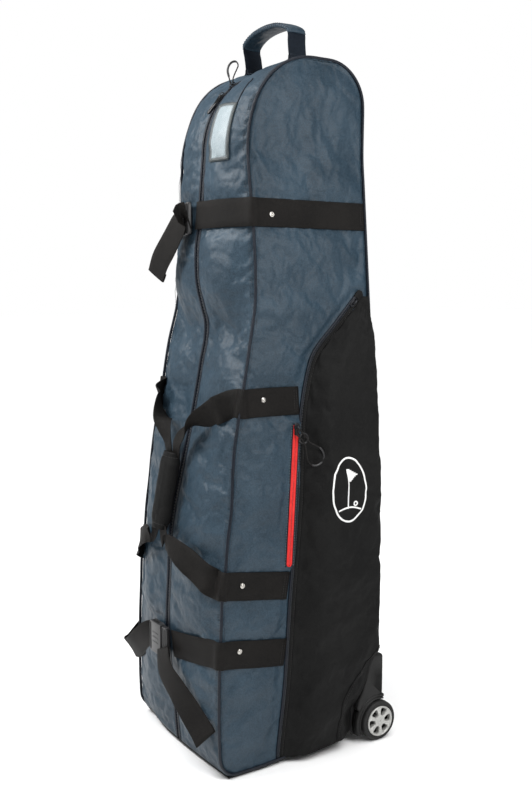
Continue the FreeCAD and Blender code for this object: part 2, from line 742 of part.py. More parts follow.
def front_side(x, height):
    """Upward direction lying in the front panel."""
    step = 22.0
    rise = front_depth(x, height + step) - front_depth(x, height - step)
    return Vec(0, rise, 2 * step)


def strap(label, height, start_depth, end_x, left=False, tilt=0.0):
    """Webbing from the side wall round the front corner, width upright."""
    points, sides = wrap_path(height, start_depth, end_x, 1.6, tilt)
    band = ribbon(points, sides, dim("webbing_width"), dim("webbing_thickness"))
    if left:
        band = band.mirror(Vec(0, 0, 0), X_AXIS)
    return free_form(label, band)


def tail(label, points, sides):
    spans = [Vec(*point) for point in points]
    turns = [Vec(*side) for side in sides]
    return free_form(label, ribbon(spans, turns, dim("webbing_width"),
                                   dim("webbing_thickness")))


CARRY_UPPER = [((116, -144, 652), (0.25, 0, 1), 50), ((98, -149, 642), (0.5, 0, 0.85), 46),
               ((70, -161, 627), (0.75, 0, 0.65), 40), ((44, -170, 609), (0.92, 0, 0.4), 32),
               ((20, -175, 585), (1, 0, 0.1), 24), ((15, -170.5, 569.5), (1, 0, 0), 22)]
CARRY_LOWER = [((134, -185, 368), (-0.35, 0, 0.95), 50), ((106, -195, 381), (-0.5, 0, 0.85), 47),
               ((76, -203, 394), (-0.65, 0, 0.75), 42), ((48, -206, 404), (-0.85, 0, 0.5), 34),
               ((24, -206, 408), (-1, 0, 0.2), 26), ((15, -202.5, 416), (-1, 0, 0), 22)]
GRIP_TOP, GRIP_LOW = (0, -176, 563), (0, -203.5, 424)


def carry_span(height, start_depth, free_run, tilt=0.0):
    """One half of a carry handle: along the side wall, then free to the grip."""
    points, sides = wrap_path(height, start_depth, half_width(height) - 12, 1.6, tilt)
    points, sides = points[:4], sides[:4]
    widths = [dim("webbing_width")] * 4
    for point, side, width in free_run:
        points.append(Vec(*point))
        sides.append(Vec(*side))
        widths.append(width)
    sections = []
    thick = dim("webbing_thickness")
    for number, (point, side, width) in enumerate(zip(points, sides, widths)):
        before, after = points[max(number - 1, 0)], points[min(number + 1, len(points) - 1)]
        along = (after - before).normalize()
        side = (side - along * side.dot(along)).normalize()
        outward = side.cross(along).normalize() * thick
        half = side * (width / 2)
        sections.append([point - half, point + half, point + half + outward,
                         point - half + outward])
    return loft(sections)


def make_carry_handle():
    """Two long carry handles gathered by one padded grip over the front."""
    upper = carry_span(dim("upper_carry_height"), pocket_edge_depth(663) - 13, CARRY_UPPER)
    lower = carry_span(dim("lower_carry_height"), pocket_edge_depth(342) - 12, CARRY_LOWER,
                       TILT)
    right = free_form("carry_webbing_right", Part.makeCompound([upper, lower]))
    mirrored("carry_webbing_left", right)
    top, low = Vec(*GRIP_TOP), Vec(*GRIP_LOW)
    along = (low - top).normalize()
    outward = X_AXIS.cross(along).normalize()
    sections = []
    for share, scale in ((0, 0.86), (0.12, 1), (0.5, 1.04), (0.88, 1), (1, 0.86)):
        centre = top + (low - top) * share
        ring = []
        for step in range(12):
            turn = 2 * math.pi * step / 12
            ring.append(centre + X_AXIS * (dim("grip_width") / 2 * scale * math.cos(turn))
                        + outward * (dim("grip_thickness") / 2 * scale * math.sin(turn)))
        sections.append(ring)
    free_form("carry_grip", loft(sections))


def make_rivets():
    """Domed rivets that pin each webbing to the side walls."""
    spots = [(-41, dim("upper_strap_height") - 3), (-77, dim("upper_carry_height") + 5),
             (-130, dim("lower_carry_height") + 6), (-136, dim("lower_strap_height") + 12)]
    solids = []
    radius, high = dim("rivet_radius"), dim("rivet_height")
    for depth, height in spots:
        outward = Vec(1, 0, -wall_slope(height)).normalize()
        foot = Vec(half_width(height) + 1.6 + dim("webbing_thickness") + 0.5, depth, height)
        dome = Part.makeCone(radius, radius * 0.55, high, foot, outward)
        solids += [dome, dome.mirror(Vec(0, 0, 0), X_AXIS)]
    free_form("rivets", Part.makeCompound(solids))


# ---------------------------------------------------------------- side-release buckles
def local_box(u0, u1, v0, v1, n0, n1):
    """Box in buckle coordinates: U along the strap, V up, N outward."""
    return Part.makeBox(u1 - u0, v1 - v0, n1 - n0, Vec(u0, v0, n0))


def buckle_place(mouth, slope):
    """Placement with U across the front (slope in degrees), V up, N outward."""
    bend = math.radians(slope)
    along = Vec(math.cos(bend), -math.sin(bend), 0)
    outward = Vec(-math.sin(bend), -math.cos(bend), 0)
    turn = FreeCAD.Rotation(along, Z_AXIS, outward, "ZYX")
    return FreeCAD.Placement(Vec(*mouth), turn)


def placed(label, shape, place):
    feature = document.addObject("Part::Feature", label)
    feature.Shape = shape
    feature.Placement = place
    return name_node(label, feature)


WINDOW_START, WINDOW_END = -32, -17


def make_buckle(prefix, mouth, slope):
    """Socket, ladder plug and two springy prongs of one webbing buckle."""
    place = buckle_place(mouth, slope)
    high, deep = dim("buckle_half_height"), dim("buckle_depth")
    long, frame = dim("socket_length"), dim("plug_length")
    slot = dim("webbing_width") / 2 + 1
    body = local_box(-long, 0, -high, high, 0, deep)
    body = body.cut(local_box(-long + 9, 1, -25, 25, 2, deep - 2))
    body = body.cut(local_box(WINDOW_START, WINDOW_END, -high - 1, high + 1, 2.6, deep - 2.6))
    body = body.cut(local_box(-long + 2.6, -long + 6.4, -slot, slot, -1, deep + 1))
    placed(f"{prefix}_buckle_socket", body, place)

    plug = local_box(0.6, frame, -high, high, 1, deep - 2)
    for start in (4.5, 12.5):
        plug = plug.cut(local_box(start, start + 4, -slot, slot, -1, deep + 1))
    plug = plug.fuse(local_box(-24, 1, -6, 6, 3.4, deep - 3.4))
    placed(f"{prefix}_buckle_plug", plug, place)

    for name, sign in (("upper", 1), ("lower", -1)):
        outline = [(-0.3, 14.5), (-0.3, 21.5), (-16, 22), (-18, 24.6), (-22, 28.6), (-28, 27.4),
                   (-30, 22), (-29, 17), (-24, 16.5), (-8, 15.5)]
        points = [Vec(u, sign * v, 3.6) for u, v in outline]
        face = Part.Face(Part.makePolygon(points + [points[0]]))
        prong = face.extrude(Vec(0, 0, deep - 7.2))
        placed(f"{prefix}_prong_{name}", prong, place)


SLACK = [((175.5, -30, 213), (0, 0.05, 1)), ((176.5, -72, 211), (0, 0.1, 1)),
         ((181, -116, 198), (0, 0.1, 1)), ((184, -158, 168), (-0.1, -0.1, 1)),
         ((174, -193, 142), (-0.1, -0.5, 0.8)), ((140, -200, 152), (0, -0.5, 0.85)),
         ((96, -201, 182), (0.2, -0.4, 0.85)), ((62, -196, 204), (0.1, -0.2, 1)),
         ((46, -190.6, 209), (0, 0, 1))]


def make_straps():
    """Compression straps, their buckles and the loose webbing tails."""
    upper, lower = dim("upper_strap_height"), dim("lower_strap_height")
    strap("upper_strap_right", upper, dim("back_depth") - 6, -6)
    strap("upper_strap_left", upper, dim("back_depth") - 6, 80, left=True)
    strap("lower_strap_right", lower, pocket_edge_depth(lower) - 10, 30, tilt=TILT)
    slack = ribbon([Vec(*point) for point, side in SLACK], [Vec(*side) for point, side in SLACK],
                   dim("webbing_width"), dim("webbing_thickness"))
    free_form("lower_strap_left", slack.mirror(Vec(0, 0, 0), X_AXIS))
    make_buckle("upper", (-34, -117.5, 988), 13)
    make_buckle("lower", (0, -192.5, 209), 0)
    tail("upper_strap_tail",
         [(-24, -135.5, 992), (-40, -142, 968), (-62, -147, 940), (-84, -150, 912),
          (-100, -151, 884)],
         [(0.75, 0.1, 0.3), (0.8, 0.1, -0.5), (0.8, 0.1, -0.6), (0.8, 0.1, -0.6),
          (0.85, 0.1, -0.5)])
    tail("lower_strap_tail",
         [(14, -207.5, 193), (34, -212, 168), (72, -208.5, 140), (112, -203.5, 110),
          (152, -196, 76)],
         [(1, 0, 0.2), (0.95, 0.1, 0.4), (0.8, 0.3, 0.55), (0.65, 0.48, 0.6),
          (0.58, 0.52, 0.6)])


# ---------------------------------------------------------------- wheels
def make_wheel():
    """Right wheel: tyre, hub, bearings and slotted cap about one axle."""
    y, z = "Dims.wheel_depth", "Dims.wheel_radius"
    start, width = "Dims.wheel_inner_side", "Dims.wheel_width"

    tyre_body = document.addObject("PartDesign::Body", "tyre_right")
    sketch = tyre_body.newObject("Sketcher::SketchObject", "tyre_section")
    plane = [item for item in tyre_body.Origin.OriginFeatures if item.Role == "XY_Plane"][0]
    sketch.AttachmentSupport = [(plane, "")]
    sketch.MapMode = "FlatFace"
    draw_tyre_section(sketch)
    document.recompute()
    spin = tyre_body.newObject("PartDesign::Revolution", "tyre_turn")
    spin.Profile = sketch
    spin.ReferenceAxis = (sketch, ["H_Axis"])
    spin.Angle = 360
    tyre_body.Tip = spin
    for axis, value in zip("xyz", (start, y, z)):
        tyre_body.setExpression(f".Placement.Base.{axis}", value)
    name_node("tyre_right", tyre_body)
    mirrored("tyre_left", tyre_body)

    drum = bar_x("hub_drum", "Dims.tyre_bore - 0.02", f"{start} + 1", f"{width} - 4", y, z)
    bore = bar_x("hub_bore_hole", "Dims.hub_bore", f"{start} - 1", f"{width} + 4", y, z)
    hub = cut("wheel_hub_right", drum, bore)
    name_node("wheel_hub_right", hub)
    mirrored("wheel_hub_left", hub)

    rings = []
    for number, offset in enumerate(("1.5", "10")):
        outer = bar_x(f"bearing_outer_{number}", "Dims.hub_bore - 0.02",
                      f"{start} + {offset}", "Dims.bearing_width", y, z)
        inner = bar_x(f"bearing_hole_{number}", "Dims.axle_radius + Dims.axle_clearance",
                      f"{start} + {offset} - 1", "Dims.bearing_width + 2", y, z)
        rings.append(cut(f"bearing_{number}", outer, inner))
    bearings = name_node("wheel_bearings_right", group("wheel_bearings_right", rings))
    mirrored("wheel_bearings_left", bearings)

    shaft = bar_x("axle_shaft", "Dims.axle_radius", f"{start} - 2.2", "19.7", y, z)
    head = bar_x("axle_head", "Dims.axle_radius + 2.5", f"{start} + 17.4", "1.2", y, z)
    axle = fuse("axle_bolt_right", [shaft, head])
    twin = document.addObject("Part::Mirroring", "axle_bolt_left")
    twin.Source = axle
    twin.Normal = X_AXIS
    name_node("wheel_axles", group("wheel_axles", [axle, twin]))
    make_cap()


def draw_tyre_section(sketch):
    """Tyre section: X along the axle, Y the radius; crowned tread."""
    width, bore, outer = dim("wheel_width"), dim("tyre_bore"), dim("wheel_radius")
    crown = 3.0
    corners = [(0, bore), (width, bore), (width, outer - crown), (width - crown, outer),
               (crown, outer), (0, outer - crown)]
    vectors = [Vec(x, y, 0) for x, y in corners]
    for start, end in zip(vectors, vectors[1:] + vectors[:1]):
        sketch.addGeometry(Part.LineSegment(start, end), False)
    count = len(corners)
    for side in range(count):
        sketch.addConstraint(Sketcher.Constraint("Coincident", side, 2, (side + 1) % count, 1))
    for side, kind in ((0, "Horizontal"), (1, "Vertical"), (3, "Horizontal"), (5, "Vertical")):
        sketch.addConstraint(Sketcher.Constraint(kind, side))
    named = [("width", "DistanceX", (0, 1, 0, 2), "Dims.wheel_width"),
             ("bore", "DistanceY", (-1, 1, 0, 1), "Dims.tyre_bore"),
             ("outer", "DistanceY", (-1, 1, 3, 1), "Dims.wheel_radius")]
    for label, kind, refs, expression in named:
        value = dim(expression.split(".")[1])
        index = sketch.addConstraint(Sketcher.Constraint(kind, *refs, value))
        sketch.renameConstraint(index, label)
        sketch.setExpression(f"Constraints.{label}", expression)
    sketch.addConstraint(Sketcher.Constraint("PointOnObject", 0, 1, -2))
    for side in (2, 4):
        sketch.addConstraint(Sketcher.Constraint("DistanceX", side, 2, side, 1, crown))
    sketch.addConstraint(Sketcher.Constraint("Equal", 1, 5))


def make_cap():
    """Slotted wheel cap: a disc with six slots cut by a polar pattern."""
    body = document.addObject("PartDesign::Body", "wheel_cap_right")
    plane = [item for item in body.Origin.OriginFeatures if item.Role == "XY_Plane"][0]
    disc = body.newObject("Sketcher::SketchObject", "cap_disc")
    disc.AttachmentSupport = [(plane, "")]
    disc.MapMode = "FlatFace"
    disc.addGeometry(Part.Circle(Vec(0, 0, 0), Z_AXIS, dim("cap_radius")), False)
    disc.addConstraint(Sketcher.Constraint("Coincident", 0, 3, -1, 1))
    index = disc.addConstraint(Sketcher.Constraint("Radius", 0, dim("cap_radius")))
    disc.renameConstraint(index, "radius")
    disc.setExpression("Constraints.radius", "Dims.cap_radius")
    pad = body.newObject("PartDesign::Pad", "cap_plate")
    pad.Profile = disc
    pad.setExpression("Length", "Dims.cap_thickness")
    document.recompute()
    slot = body.newObject("Sketcher::SketchObject", "cap_slot")
    slot.AttachmentSupport = [(plane, "")]
    slot.MapMode = "FlatFace"
    slot.addGeometry(Part.Circle(Vec(dim("cap_slot_reach"), 0, 0), Z_AXIS,
                                 dim("cap_slot_radius")), False)
    slot.addConstraint(Sketcher.Constraint("PointOnObject", 0, 3, -1))
    for label, constraint, expression in (
            ("reach", Sketcher.Constraint("DistanceX", -1, 1, 0, 3, dim("cap_slot_reach")),
             "Dims.cap_slot_reach"),
            ("slot_radius", Sketcher.Constraint("Radius", 0, dim("cap_slot_radius")),
             "Dims.cap_slot_radius")):
        index = slot.addConstraint(constraint)
        slot.renameConstraint(index, label)
        slot.setExpression(f"Constraints.{label}", expression)
    document.recompute()
    pocket = body.newObject("PartDesign::Pocket", "cap_cut")
    pocket.Profile = slot
    pocket.Type = "ThroughAll"
    pocket.Midplane = True
    document.recompute()
    whole = math.pi * dim("cap_radius") ** 2 * dim("cap_thickness")
    if body.Shape.Volume > whole - 1:
        raise RuntimeError("the cap's slot cuts nothing")
    ring = body.newObject("PartDesign::PolarPattern", "cap_slots")
    ring.Originals = [pocket]
    ring.Axis = (slot, ["N_Axis"])
    ring.Angle = 360
    ring.Occurrences = 6
    body.Tip = ring
    body.Placement = FreeCAD.Placement(Vec(0, 0, 0), FreeCAD.Rotation(Y_AXIS, 90))
    for axis, value in zip("xyz", ("Dims.wheel_inner_side + Dims.wheel_width - 0.6",
                                   "Dims.wheel_depth", "Dims.wheel_radius")):
        body.setExpression(f".Placement.Base.{axis}", value)
    name_node("wheel_cap_right", body)
    mirrored("wheel_cap_left", body)


def make_housing():
    """Moulded corner guard: side plate with a tongue, wheel arch and axle boss."""
    start = dim("base_half_width") + dim("seam_gap")
    plate_end = start + dim("housing_plate")
    y, z = dim("wheel_depth"), dim("wheel_radius")
    plate = prism_x(guard_outline(0), start, plate_end)
    centre = Vec(plate_end - 0.5, y, z)
    arch = Part.makeCylinder(dim("fender_outer"), dim("fender_width"), centre, X_AXIS)
    well = Part.makeCylinder(dim("fender_inner"), dim("fender_width") + 4,
                             centre + Vec(-2, 0, 0), X_AXIS)
    keep = Part.makeBox(60, 2 * dim("fender_outer"), 120,
                        Vec(start, y - dim("fender_outer"), 14))
    trim = Part.makeBox(60, 60, 60, Vec(start, y + 25, 14))
    arch = arch.cut(well).common(keep).cut(trim)
    face, back = dim("guard_face"), dim("back_depth") + dim("guard_back")
    tongue = prism_x([Vec(0, 119, 97)] + guard_outline(0)[3:7] + [Vec(0, back, 85)], start, face)
    wrap, inner = dim("guard_wrap"), dim("back_depth") + dim("seam_gap")
    corner = Part.makeBox(face - wrap, back - inner, 154, Vec(wrap, inner, 14))
    raised = tongue.fuse(corner).cut(well)
    boss = Part.makeCylinder(dim("boss_radius"), 1.6, Vec(plate_end - 0.1, y, z), X_AXIS)
    bore = Part.makeCylinder(dim("axle_radius"), 12, Vec(start + 1.2, y, z), X_AXIS)
    shell = plate.fuse(raised).fuse(arch).fuse(boss)
    right = free_form("wheel_housing_right", shell.cut(bore))
    mirrored("wheel_housing_left", right)


# ---------------------------------------------------------------- build, check, write
def build():
    fill_sheet()
    make_side_panels()
    make_front_panels()
    make_back_panel()
    make_base()
    make_liners()
    make_piping()
    make_main_zip()
    make_main_sliders()
    make_pocket()
    make_pocket_zips()
    make_accent_zip()
    make_identity_window()
    make_top_handle()
    make_straps()
    make_carry_handle()
    make_rivets()
    make_housing()
    make_wheel()
    document.recompute()


def check():
    for item in document.Objects:
        if {"Invalid", "Error"} & set(item.State):
            raise RuntimeError(f"{item.Name} failed: {item.State}")
    for label, feature in NODES.items():
        shape = feature.Shape
        if shape.isNull() or not shape.isValid() or not shape.Solids:
            raise RuntimeError(f"{label} has no valid solid")
        if any(solid.Volume <= 0 for solid in shape.Solids):
            raise RuntimeError(f"{label} is inside out")


def write():
    os.makedirs("parts", exist_ok=True)
    for label, feature in NODES.items():
        feature.Shape.exportStep(f"parts/{label}.step")
    whole = Part.makeCompound([feature.Shape for feature in NODES.values()])
    size = whole.BoundBox
    print(len(NODES), "nodes; box", [round(value, 1) for value in
                                     (size.XMin, size.YMin, size.ZMin,
                                      size.XMax, size.YMax, size.ZMax)])


build()
check()
write()
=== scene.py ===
"""Looks of the wheeled golf travel case. Lengths in the tables are millimetres."""
import math

import bmesh
import bpy
from mathutils import Matrix, Vector, noise
from mathutils.bvhtree import BVHTree


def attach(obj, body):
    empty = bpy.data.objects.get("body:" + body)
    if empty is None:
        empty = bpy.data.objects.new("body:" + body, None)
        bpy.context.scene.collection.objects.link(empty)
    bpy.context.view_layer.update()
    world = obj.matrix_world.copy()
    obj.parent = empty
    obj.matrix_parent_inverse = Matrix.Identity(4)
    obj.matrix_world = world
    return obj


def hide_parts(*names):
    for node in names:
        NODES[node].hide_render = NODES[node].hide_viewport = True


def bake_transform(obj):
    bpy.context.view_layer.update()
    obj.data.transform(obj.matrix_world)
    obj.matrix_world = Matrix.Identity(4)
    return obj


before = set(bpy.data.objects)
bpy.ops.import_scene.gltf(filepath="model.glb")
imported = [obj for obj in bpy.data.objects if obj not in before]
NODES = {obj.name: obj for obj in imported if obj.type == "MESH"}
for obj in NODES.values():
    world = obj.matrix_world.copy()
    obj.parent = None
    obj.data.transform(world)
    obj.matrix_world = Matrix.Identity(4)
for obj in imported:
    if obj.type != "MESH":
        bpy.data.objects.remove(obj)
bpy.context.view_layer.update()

MM = 0.001
SCENE = bpy.context.scene


# ================================================================ small helpers
def lerp(a, b, t):
    return a + (b - a) * t


def clamp(x, low=0.0, high=1.0):
    return max(low, min(high, x))


def smooth(x, low=0.0, high=1.0):
    t = clamp((x - low) / (high - low))
    return t * t * (3 - 2 * t)


def bump_at(x, centre, reach):
    """1 at centre, falling smoothly to 0 at reach."""
    return 1 - smooth(abs(x - centre), 0, reach)


def table(rows, column, x):
    """A smooth curve through a table's rows, by its first column."""
    if x <= rows[0][0]:
        return rows[0][column]
    for k in range(len(rows) - 1):
        x0, x1 = rows[k][0], rows[k + 1][0]
        if x <= x1:
            y0, y1 = rows[k][column], rows[k + 1][column]
            before, after = rows[max(k - 1, 0)], rows[min(k + 2, len(rows) - 1)]
            m0 = (y1 - before[column]) / (x1 - before[0])
            m1 = (after[column] - y0) / (after[0] - x0)
            t, h = (x - x0) / (x1 - x0), x1 - x0
            return (y0 * (1 + 2 * t) * (1 - t) ** 2 + y1 * t * t * (3 - 2 * t)
                    + h * (m0 * t * (1 - t) ** 2 - m1 * t * t * (1 - t)))
    return rows[-1][column]


def spline(points, per=8, closed=False):
    """Points along a smooth curve through the given points."""
    points = [Vector(p) for p in points]
    count, out = len(points), []
    for k in range(count if closed else count - 1):
        p1, p2 = points[k], points[(k + 1) % count]
        p0 = points[k - 1] if closed or k else p1 * 2 - p2
        p3 = points[(k + 2) % count] if closed or k + 2 < count else p2 * 2 - p1
        d01, d12, d23 = ((q - p).length ** 0.5 or 1e-6 for p, q in ((p0, p1), (p1, p2), (p2, p3)))
        m1 = (p2 - p1) + ((p1 - p0) / d01 - (p2 - p0) / (d01 + d12)) * d12
        m2 = (p2 - p1) + ((p3 - p2) / d23 - (p3 - p1) / (d12 + d23)) * d12
        for step in range(per):
            t = step / per
            out.append(p1 * (1 + 2 * t) * (1 - t) ** 2 + p2 * t * t * (3 - 2 * t)
                       + m1 * t * (1 - t) ** 2 - m2 * t * t * (1 - t))
    if not closed:
        out.append(points[-1])
    return out


def evenly(points, gap, closed=False):
    """Points a fixed gap apart along a path."""
    points = [Vector(p) for p in points]
    if closed:
        points = points + [points[0]]
    total = sum((b - a).length for a, b in zip(points, points[1:]))
    count = max(2, round(total / gap))
    step, out, walked, target = total / count, [points[0]], 0.0, 0.0
    for a, b in zip(points, points[1:]):
        run = (b - a).length
        while run > 0 and target + step <= walked + run + 1e-6 and len(out) <= count:
            target += step
            out.append(a.lerp(b, clamp((target - walked) / run)))
        walked += run
    if closed:
        out = out[:count]
    elif len(out) <= count:
        out.append(points[-1])
    return out


def fbm(p, size, octaves=3):
    """Signed fractal noise at a feature size in millimetres, about -1 to 1."""
    return noise.fractal(Vector(p) / size, 1.0, 2.0, octaves)


def crease(p, size, seed=0.0):
    """Sharp-ridged noise from 0 to 1, like the creases of crisp cloth."""
    q = Vector(p) / size + Vector((seed, 2.7 * seed, -seed))
    ridge = 1 - min(1.0, abs(noise.noise(q)) * 3.2)
    return ridge ** 3


# ================================================================ mesh helpers
def eased(point):
    """Soft pulls of the worn case: its left corner, hood edge and front hem."""
    x, y, z = point
    corner = smooth(-x, 40, 168) * smooth(-y, 0, 120) * (1 - smooth(z, 540, 760))
    hood = smooth(-x, 40, 112) * smooth(-y, 0, 80) * smooth(z, 640, 780)
    hood *= 1 - smooth(z, 1090, 1180)
    hem = clamp(1 - (x / 168) ** 2) * smooth(-y, 60, 150) * (1 - smooth(z, 10, 170))
    return (point + Vector((5, 8, 0)) * corner + Vector((-5, -4, 0)) * hood
            + Vector((0, 12, 5)) * hem)


def piece(name, verts, faces, material, body, replaces=(), flat=False):
    """A mesh object from millimetre points, riding on a body."""
    mesh = bpy.data.meshes.new(name)
    mesh.from_pydata([tuple(eased(Vector(v)) * MM) for v in verts], [], faces)
    mesh.validate()
    mesh.update()
    if not flat:
        mesh.polygons.foreach_set("use_smooth", [True] * len(mesh.polygons))
    obj = bpy.data.objects.new(name, mesh)
    SCENE.collection.objects.link(obj)
    mesh.materials.append(material)
    if body:
        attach(obj, body)
    if replaces:
        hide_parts(*replaces)
    return obj


def grid_faces(rows, columns, start=0, wrap=False, flip=False):
    """Quads of a grid of points; wrap joins the last column to the first."""
    faces = []
    for i in range(rows - 1):
        for j in range(columns if wrap else columns - 1):
            k = (j + 1) % columns
            a, b = start + i * columns + j, start + i * columns + k
            c, d = start + (i + 1) * columns + k, start + (i + 1) * columns + j
            faces.append((d, c, b, a) if flip else (a, b, c, d))
    return faces


def grid_normals(grid):
    """Outward normals of a grid of points, from its row and column differences."""
    rows, columns, out = len(grid), len(grid[0]), []
    for i in range(rows):
        line = []
        for j in range(columns):
            u = grid[i][min(j + 1, columns - 1)] - grid[i][max(j - 1, 0)]
            v = grid[min(i + 1, rows - 1)][j] - grid[max(i - 1, 0)][j]
            line.append(u.cross(v).normalized() if u.cross(v).length else Vector((0, 0, 1)))
        out.append(line)
    return out


def shell_from_grid(grid, thickness, flip=False):
    """A closed sheet: the grid as its outer face and its copy inside."""
    normals = grid_normals(grid)
    sign = -1 if flip else 1
    rows, columns = len(grid), len(grid[0])
    outer = [p for line in grid for p in line]
    inner = [p - n * (thickness * sign) for line, ns in zip(grid, normals)
             for p, n in zip(line, ns)]
    total = rows * columns
    faces = grid_faces(rows, columns, 0, flip=flip) + grid_faces(rows, columns, total, flip=not flip)
    rim = ([j for j in range(columns)] + [i * columns + columns - 1 for i in range(1, rows)]
           + [(rows - 1) * columns + j for j in range(columns - 2, -1, -1)]
           + [i * columns for i in range(rows - 2, 0, -1)])
    for a, b in zip(rim, rim[1:] + rim[:1]):
        quad = (a, a + total, b + total, b)
        faces.append(quad[::-1] if flip else quad)
    return outer + inner, faces


def sweep(path, ring, frames=None, closed=False, caps=True):
    """Verts and faces of a ring of (side, out) offsets carried along a path."""
    path = [Vector(p) for p in path]
    if frames is None:
        frames = transport(path, closed)
    verts = []
    for number, (point, (side, out)) in enumerate(zip(path, frames)):
        shape = ring(number / max(1, len(path) - 1)) if callable(ring) else ring
        verts += [point + side * a + out * b for a, b in shape]
    count = len(verts) // len(path)
    faces = grid_faces(len(path), count, wrap=True, flip=True)
    if closed:
        last = (len(path) - 1) * count
        faces += [(last + j, last + (j + 1) % count, (j + 1) % count, j)[::-1]
                  for j in range(count)]
    elif caps:
        faces.append(tuple(range(count)))
        faces.append(tuple(range(len(verts) - 1, len(verts) - count - 1, -1)))
    return verts, faces


def transport(path, closed=False, first=None):
    """Side and out directions along a path, turned as little as possible."""
    count, frames, out = len(path), [], first
    for k in range(count):
        a = path[k - 1] if closed or k else path[k]
        b = path[(k + 1) % count] if closed or k + 1 < count else path[k]
        along = (b - a).normalized()
        if out is None:
            out = Vector((0, 0, 1)) if abs(along.z) < 0.9 else Vector((1, 0, 0))
        out = (out - along * out.dot(along)).normalized()
        frames.append((along.cross(out), out))
    return frames


def ring_of(radius, sides=12, squash=1.0):
    turns = [2 * math.pi * k / sides for k in range(sides)]
    return [(radius * math.cos(t), radius * squash * math.sin(t)) for t in turns]


def joined(parts):
    """Several (verts, faces) as one."""
    verts, faces = [], []
    for more_verts, more_faces in parts:
        start = len(verts)
        verts += more_verts
        faces += [tuple(start + v for v in face) for face in more_faces]
    return verts, faces


def lathe(profile, sides=48, axis_matrix=None):
    """A closed profile of (radius, along) turned about +Z."""
    verts = []
    for k in range(sides):
        t = 2 * math.pi * k / sides
        verts += [Vector((r * math.cos(t), r * math.sin(t), z)) for r, z in profile]
    count = len(profile)
    faces = grid_faces(sides, count, wrap=True)
    last = (sides - 1) * count
    faces += [(last + j, last + (j + 1) % count, (j + 1) % count, j) for j in range(count)]
    if axis_matrix is not None:
        verts = [axis_matrix @ v for v in verts]
    return verts, faces


def stitches(points, normals, length=3.4, gap=1.5, radius=0.38, lift=0.1):
    """Thread stitches lying along a path, sunk at their ends."""
    parts, pitch = [], length + gap
    dense = [Vector(p) for p in points]
    walked, target = 0.0, gap
    for k in range(len(dense) - 1):
        a, b = dense[k], dense[k + 1]
        run = (b - a).length
        while run > 0 and target <= walked + run:
            t = (target - walked) / run
            middle, out = a.lerp(b, t), Vector(normals[k]).lerp(Vector(normals[k + 1]), t)
            along = (b - a).normalized()
            out = (out - along * out.dot(along)).normalized()
            side = along.cross(out)
            half = along * (length / 2)
            rise, middle = out * radius, middle + out * lift
            verts = [middle - half - rise, middle + half - rise]
            for share in (-0.55, 0.55):
                centre = middle + half * share
                verts += [centre + side * radius, centre + rise, centre - side * radius,
                          centre - rise]
            faces = [(0, 3, 2), (0, 4, 3), (0, 5, 4), (0, 2, 5),
                     (1, 6, 7), (1, 7, 8), (1, 8, 9), (1, 9, 6),
                     (2, 3, 7, 6), (3, 4, 8, 7), (4, 5, 9, 8), (5, 2, 6, 9)]
            parts.append((verts, faces))
            target += pitch
        walked += run
    return joined(parts)


# ================================================================ materials
def new_material(name, colour, roughness, metallic=0.0, **sockets):
    """A Principled material, and a small builder for its node tree."""
    material = bpy.data.materials.new(name)
    material.use_nodes = True
    tree = material.node_tree
    shader = tree.nodes["Principled BSDF"]
    shader.inputs["Base Color"].default_value = (*colour, 1)
    shader.inputs["Roughness"].default_value = roughness
    shader.inputs["Metallic"].default_value = metallic
    for socket, value in sockets.items():
        shader.inputs[socket.replace("_", " ")].default_value = value
    return material, tree, shader


def node(tree, kind, inputs=None, **settings):
    made = tree.nodes.new("ShaderNode" + kind)
    for key, value in settings.items():
        setattr(made, key, value)
    for key, value in (inputs or {}).items():
        if isinstance(value, bpy.types.NodeSocket):
            tree.links.new(value, made.inputs[key])
        else:
            made.inputs[key].default_value = value
    return made


def math_node(tree, operation, a, b=0.0):
    return node(tree, "Math", {0: a, 1: b}, operation=operation).outputs[0]


def mixed_colour(tree, factor, a, b):
    made = node(tree, "Mix", {0: factor}, data_type="RGBA")
    for socket, value in ((6, a), (7, b)):
        if isinstance(value, bpy.types.NodeSocket):
            tree.links.new(value, made.inputs[socket])
        else:
            made.inputs[socket].default_value = (*value, 1)
    return made.outputs[2]


def place_of(tree):
    return node(tree, "TexCoord").outputs["Object"]


def noise_of(tree, vector, scale, detail=2.0, roughness=0.5, distortion=0.0):
    made = node(tree, "TexNoise", {"Vector": vector, "Scale": scale, "Detail": detail,
                                   "Roughness": roughness, "Distortion": distortion})
    return made.outputs["Fac"]


def ramped(tree, value, low, high, to_low=0.0, to_high=1.0):
    made = node(tree, "MapRange", {0: value, 1: low, 2: high, 3: to_low, 4: to_high})
    return made.outputs[0]


def weave_height(tree, vector, pitch_mm):
    """Two crossing sets of threads: upright against level, on any side of the case."""
    split = node(tree, "SeparateXYZ", {0: vector})
    level = math_node(tree, "ADD", split.outputs[0], split.outputs[1])
    turns = 2 * math.pi / (pitch_mm * MM)
    warp = math_node(tree, "SINE", math_node(tree, "MULTIPLY", level, turns))
    weft = math_node(tree, "SINE", math_node(tree, "MULTIPLY", split.outputs[2], turns))
    return math_node(tree, "MULTIPLY", warp, weft)


def bumped(tree, shader, heights):
    """Chain of Bump nodes from (height, strength, distance in mm)."""
    normal = None
    for height, strength, distance in heights:
        inputs = {"Height": height, "Strength": strength, "Distance": distance * MM}
        if normal is not None:
            inputs["Normal"] = normal
        normal = node(tree, "Bump", inputs).outputs[0]
    tree.links.new(normal, shader.inputs["Normal"])


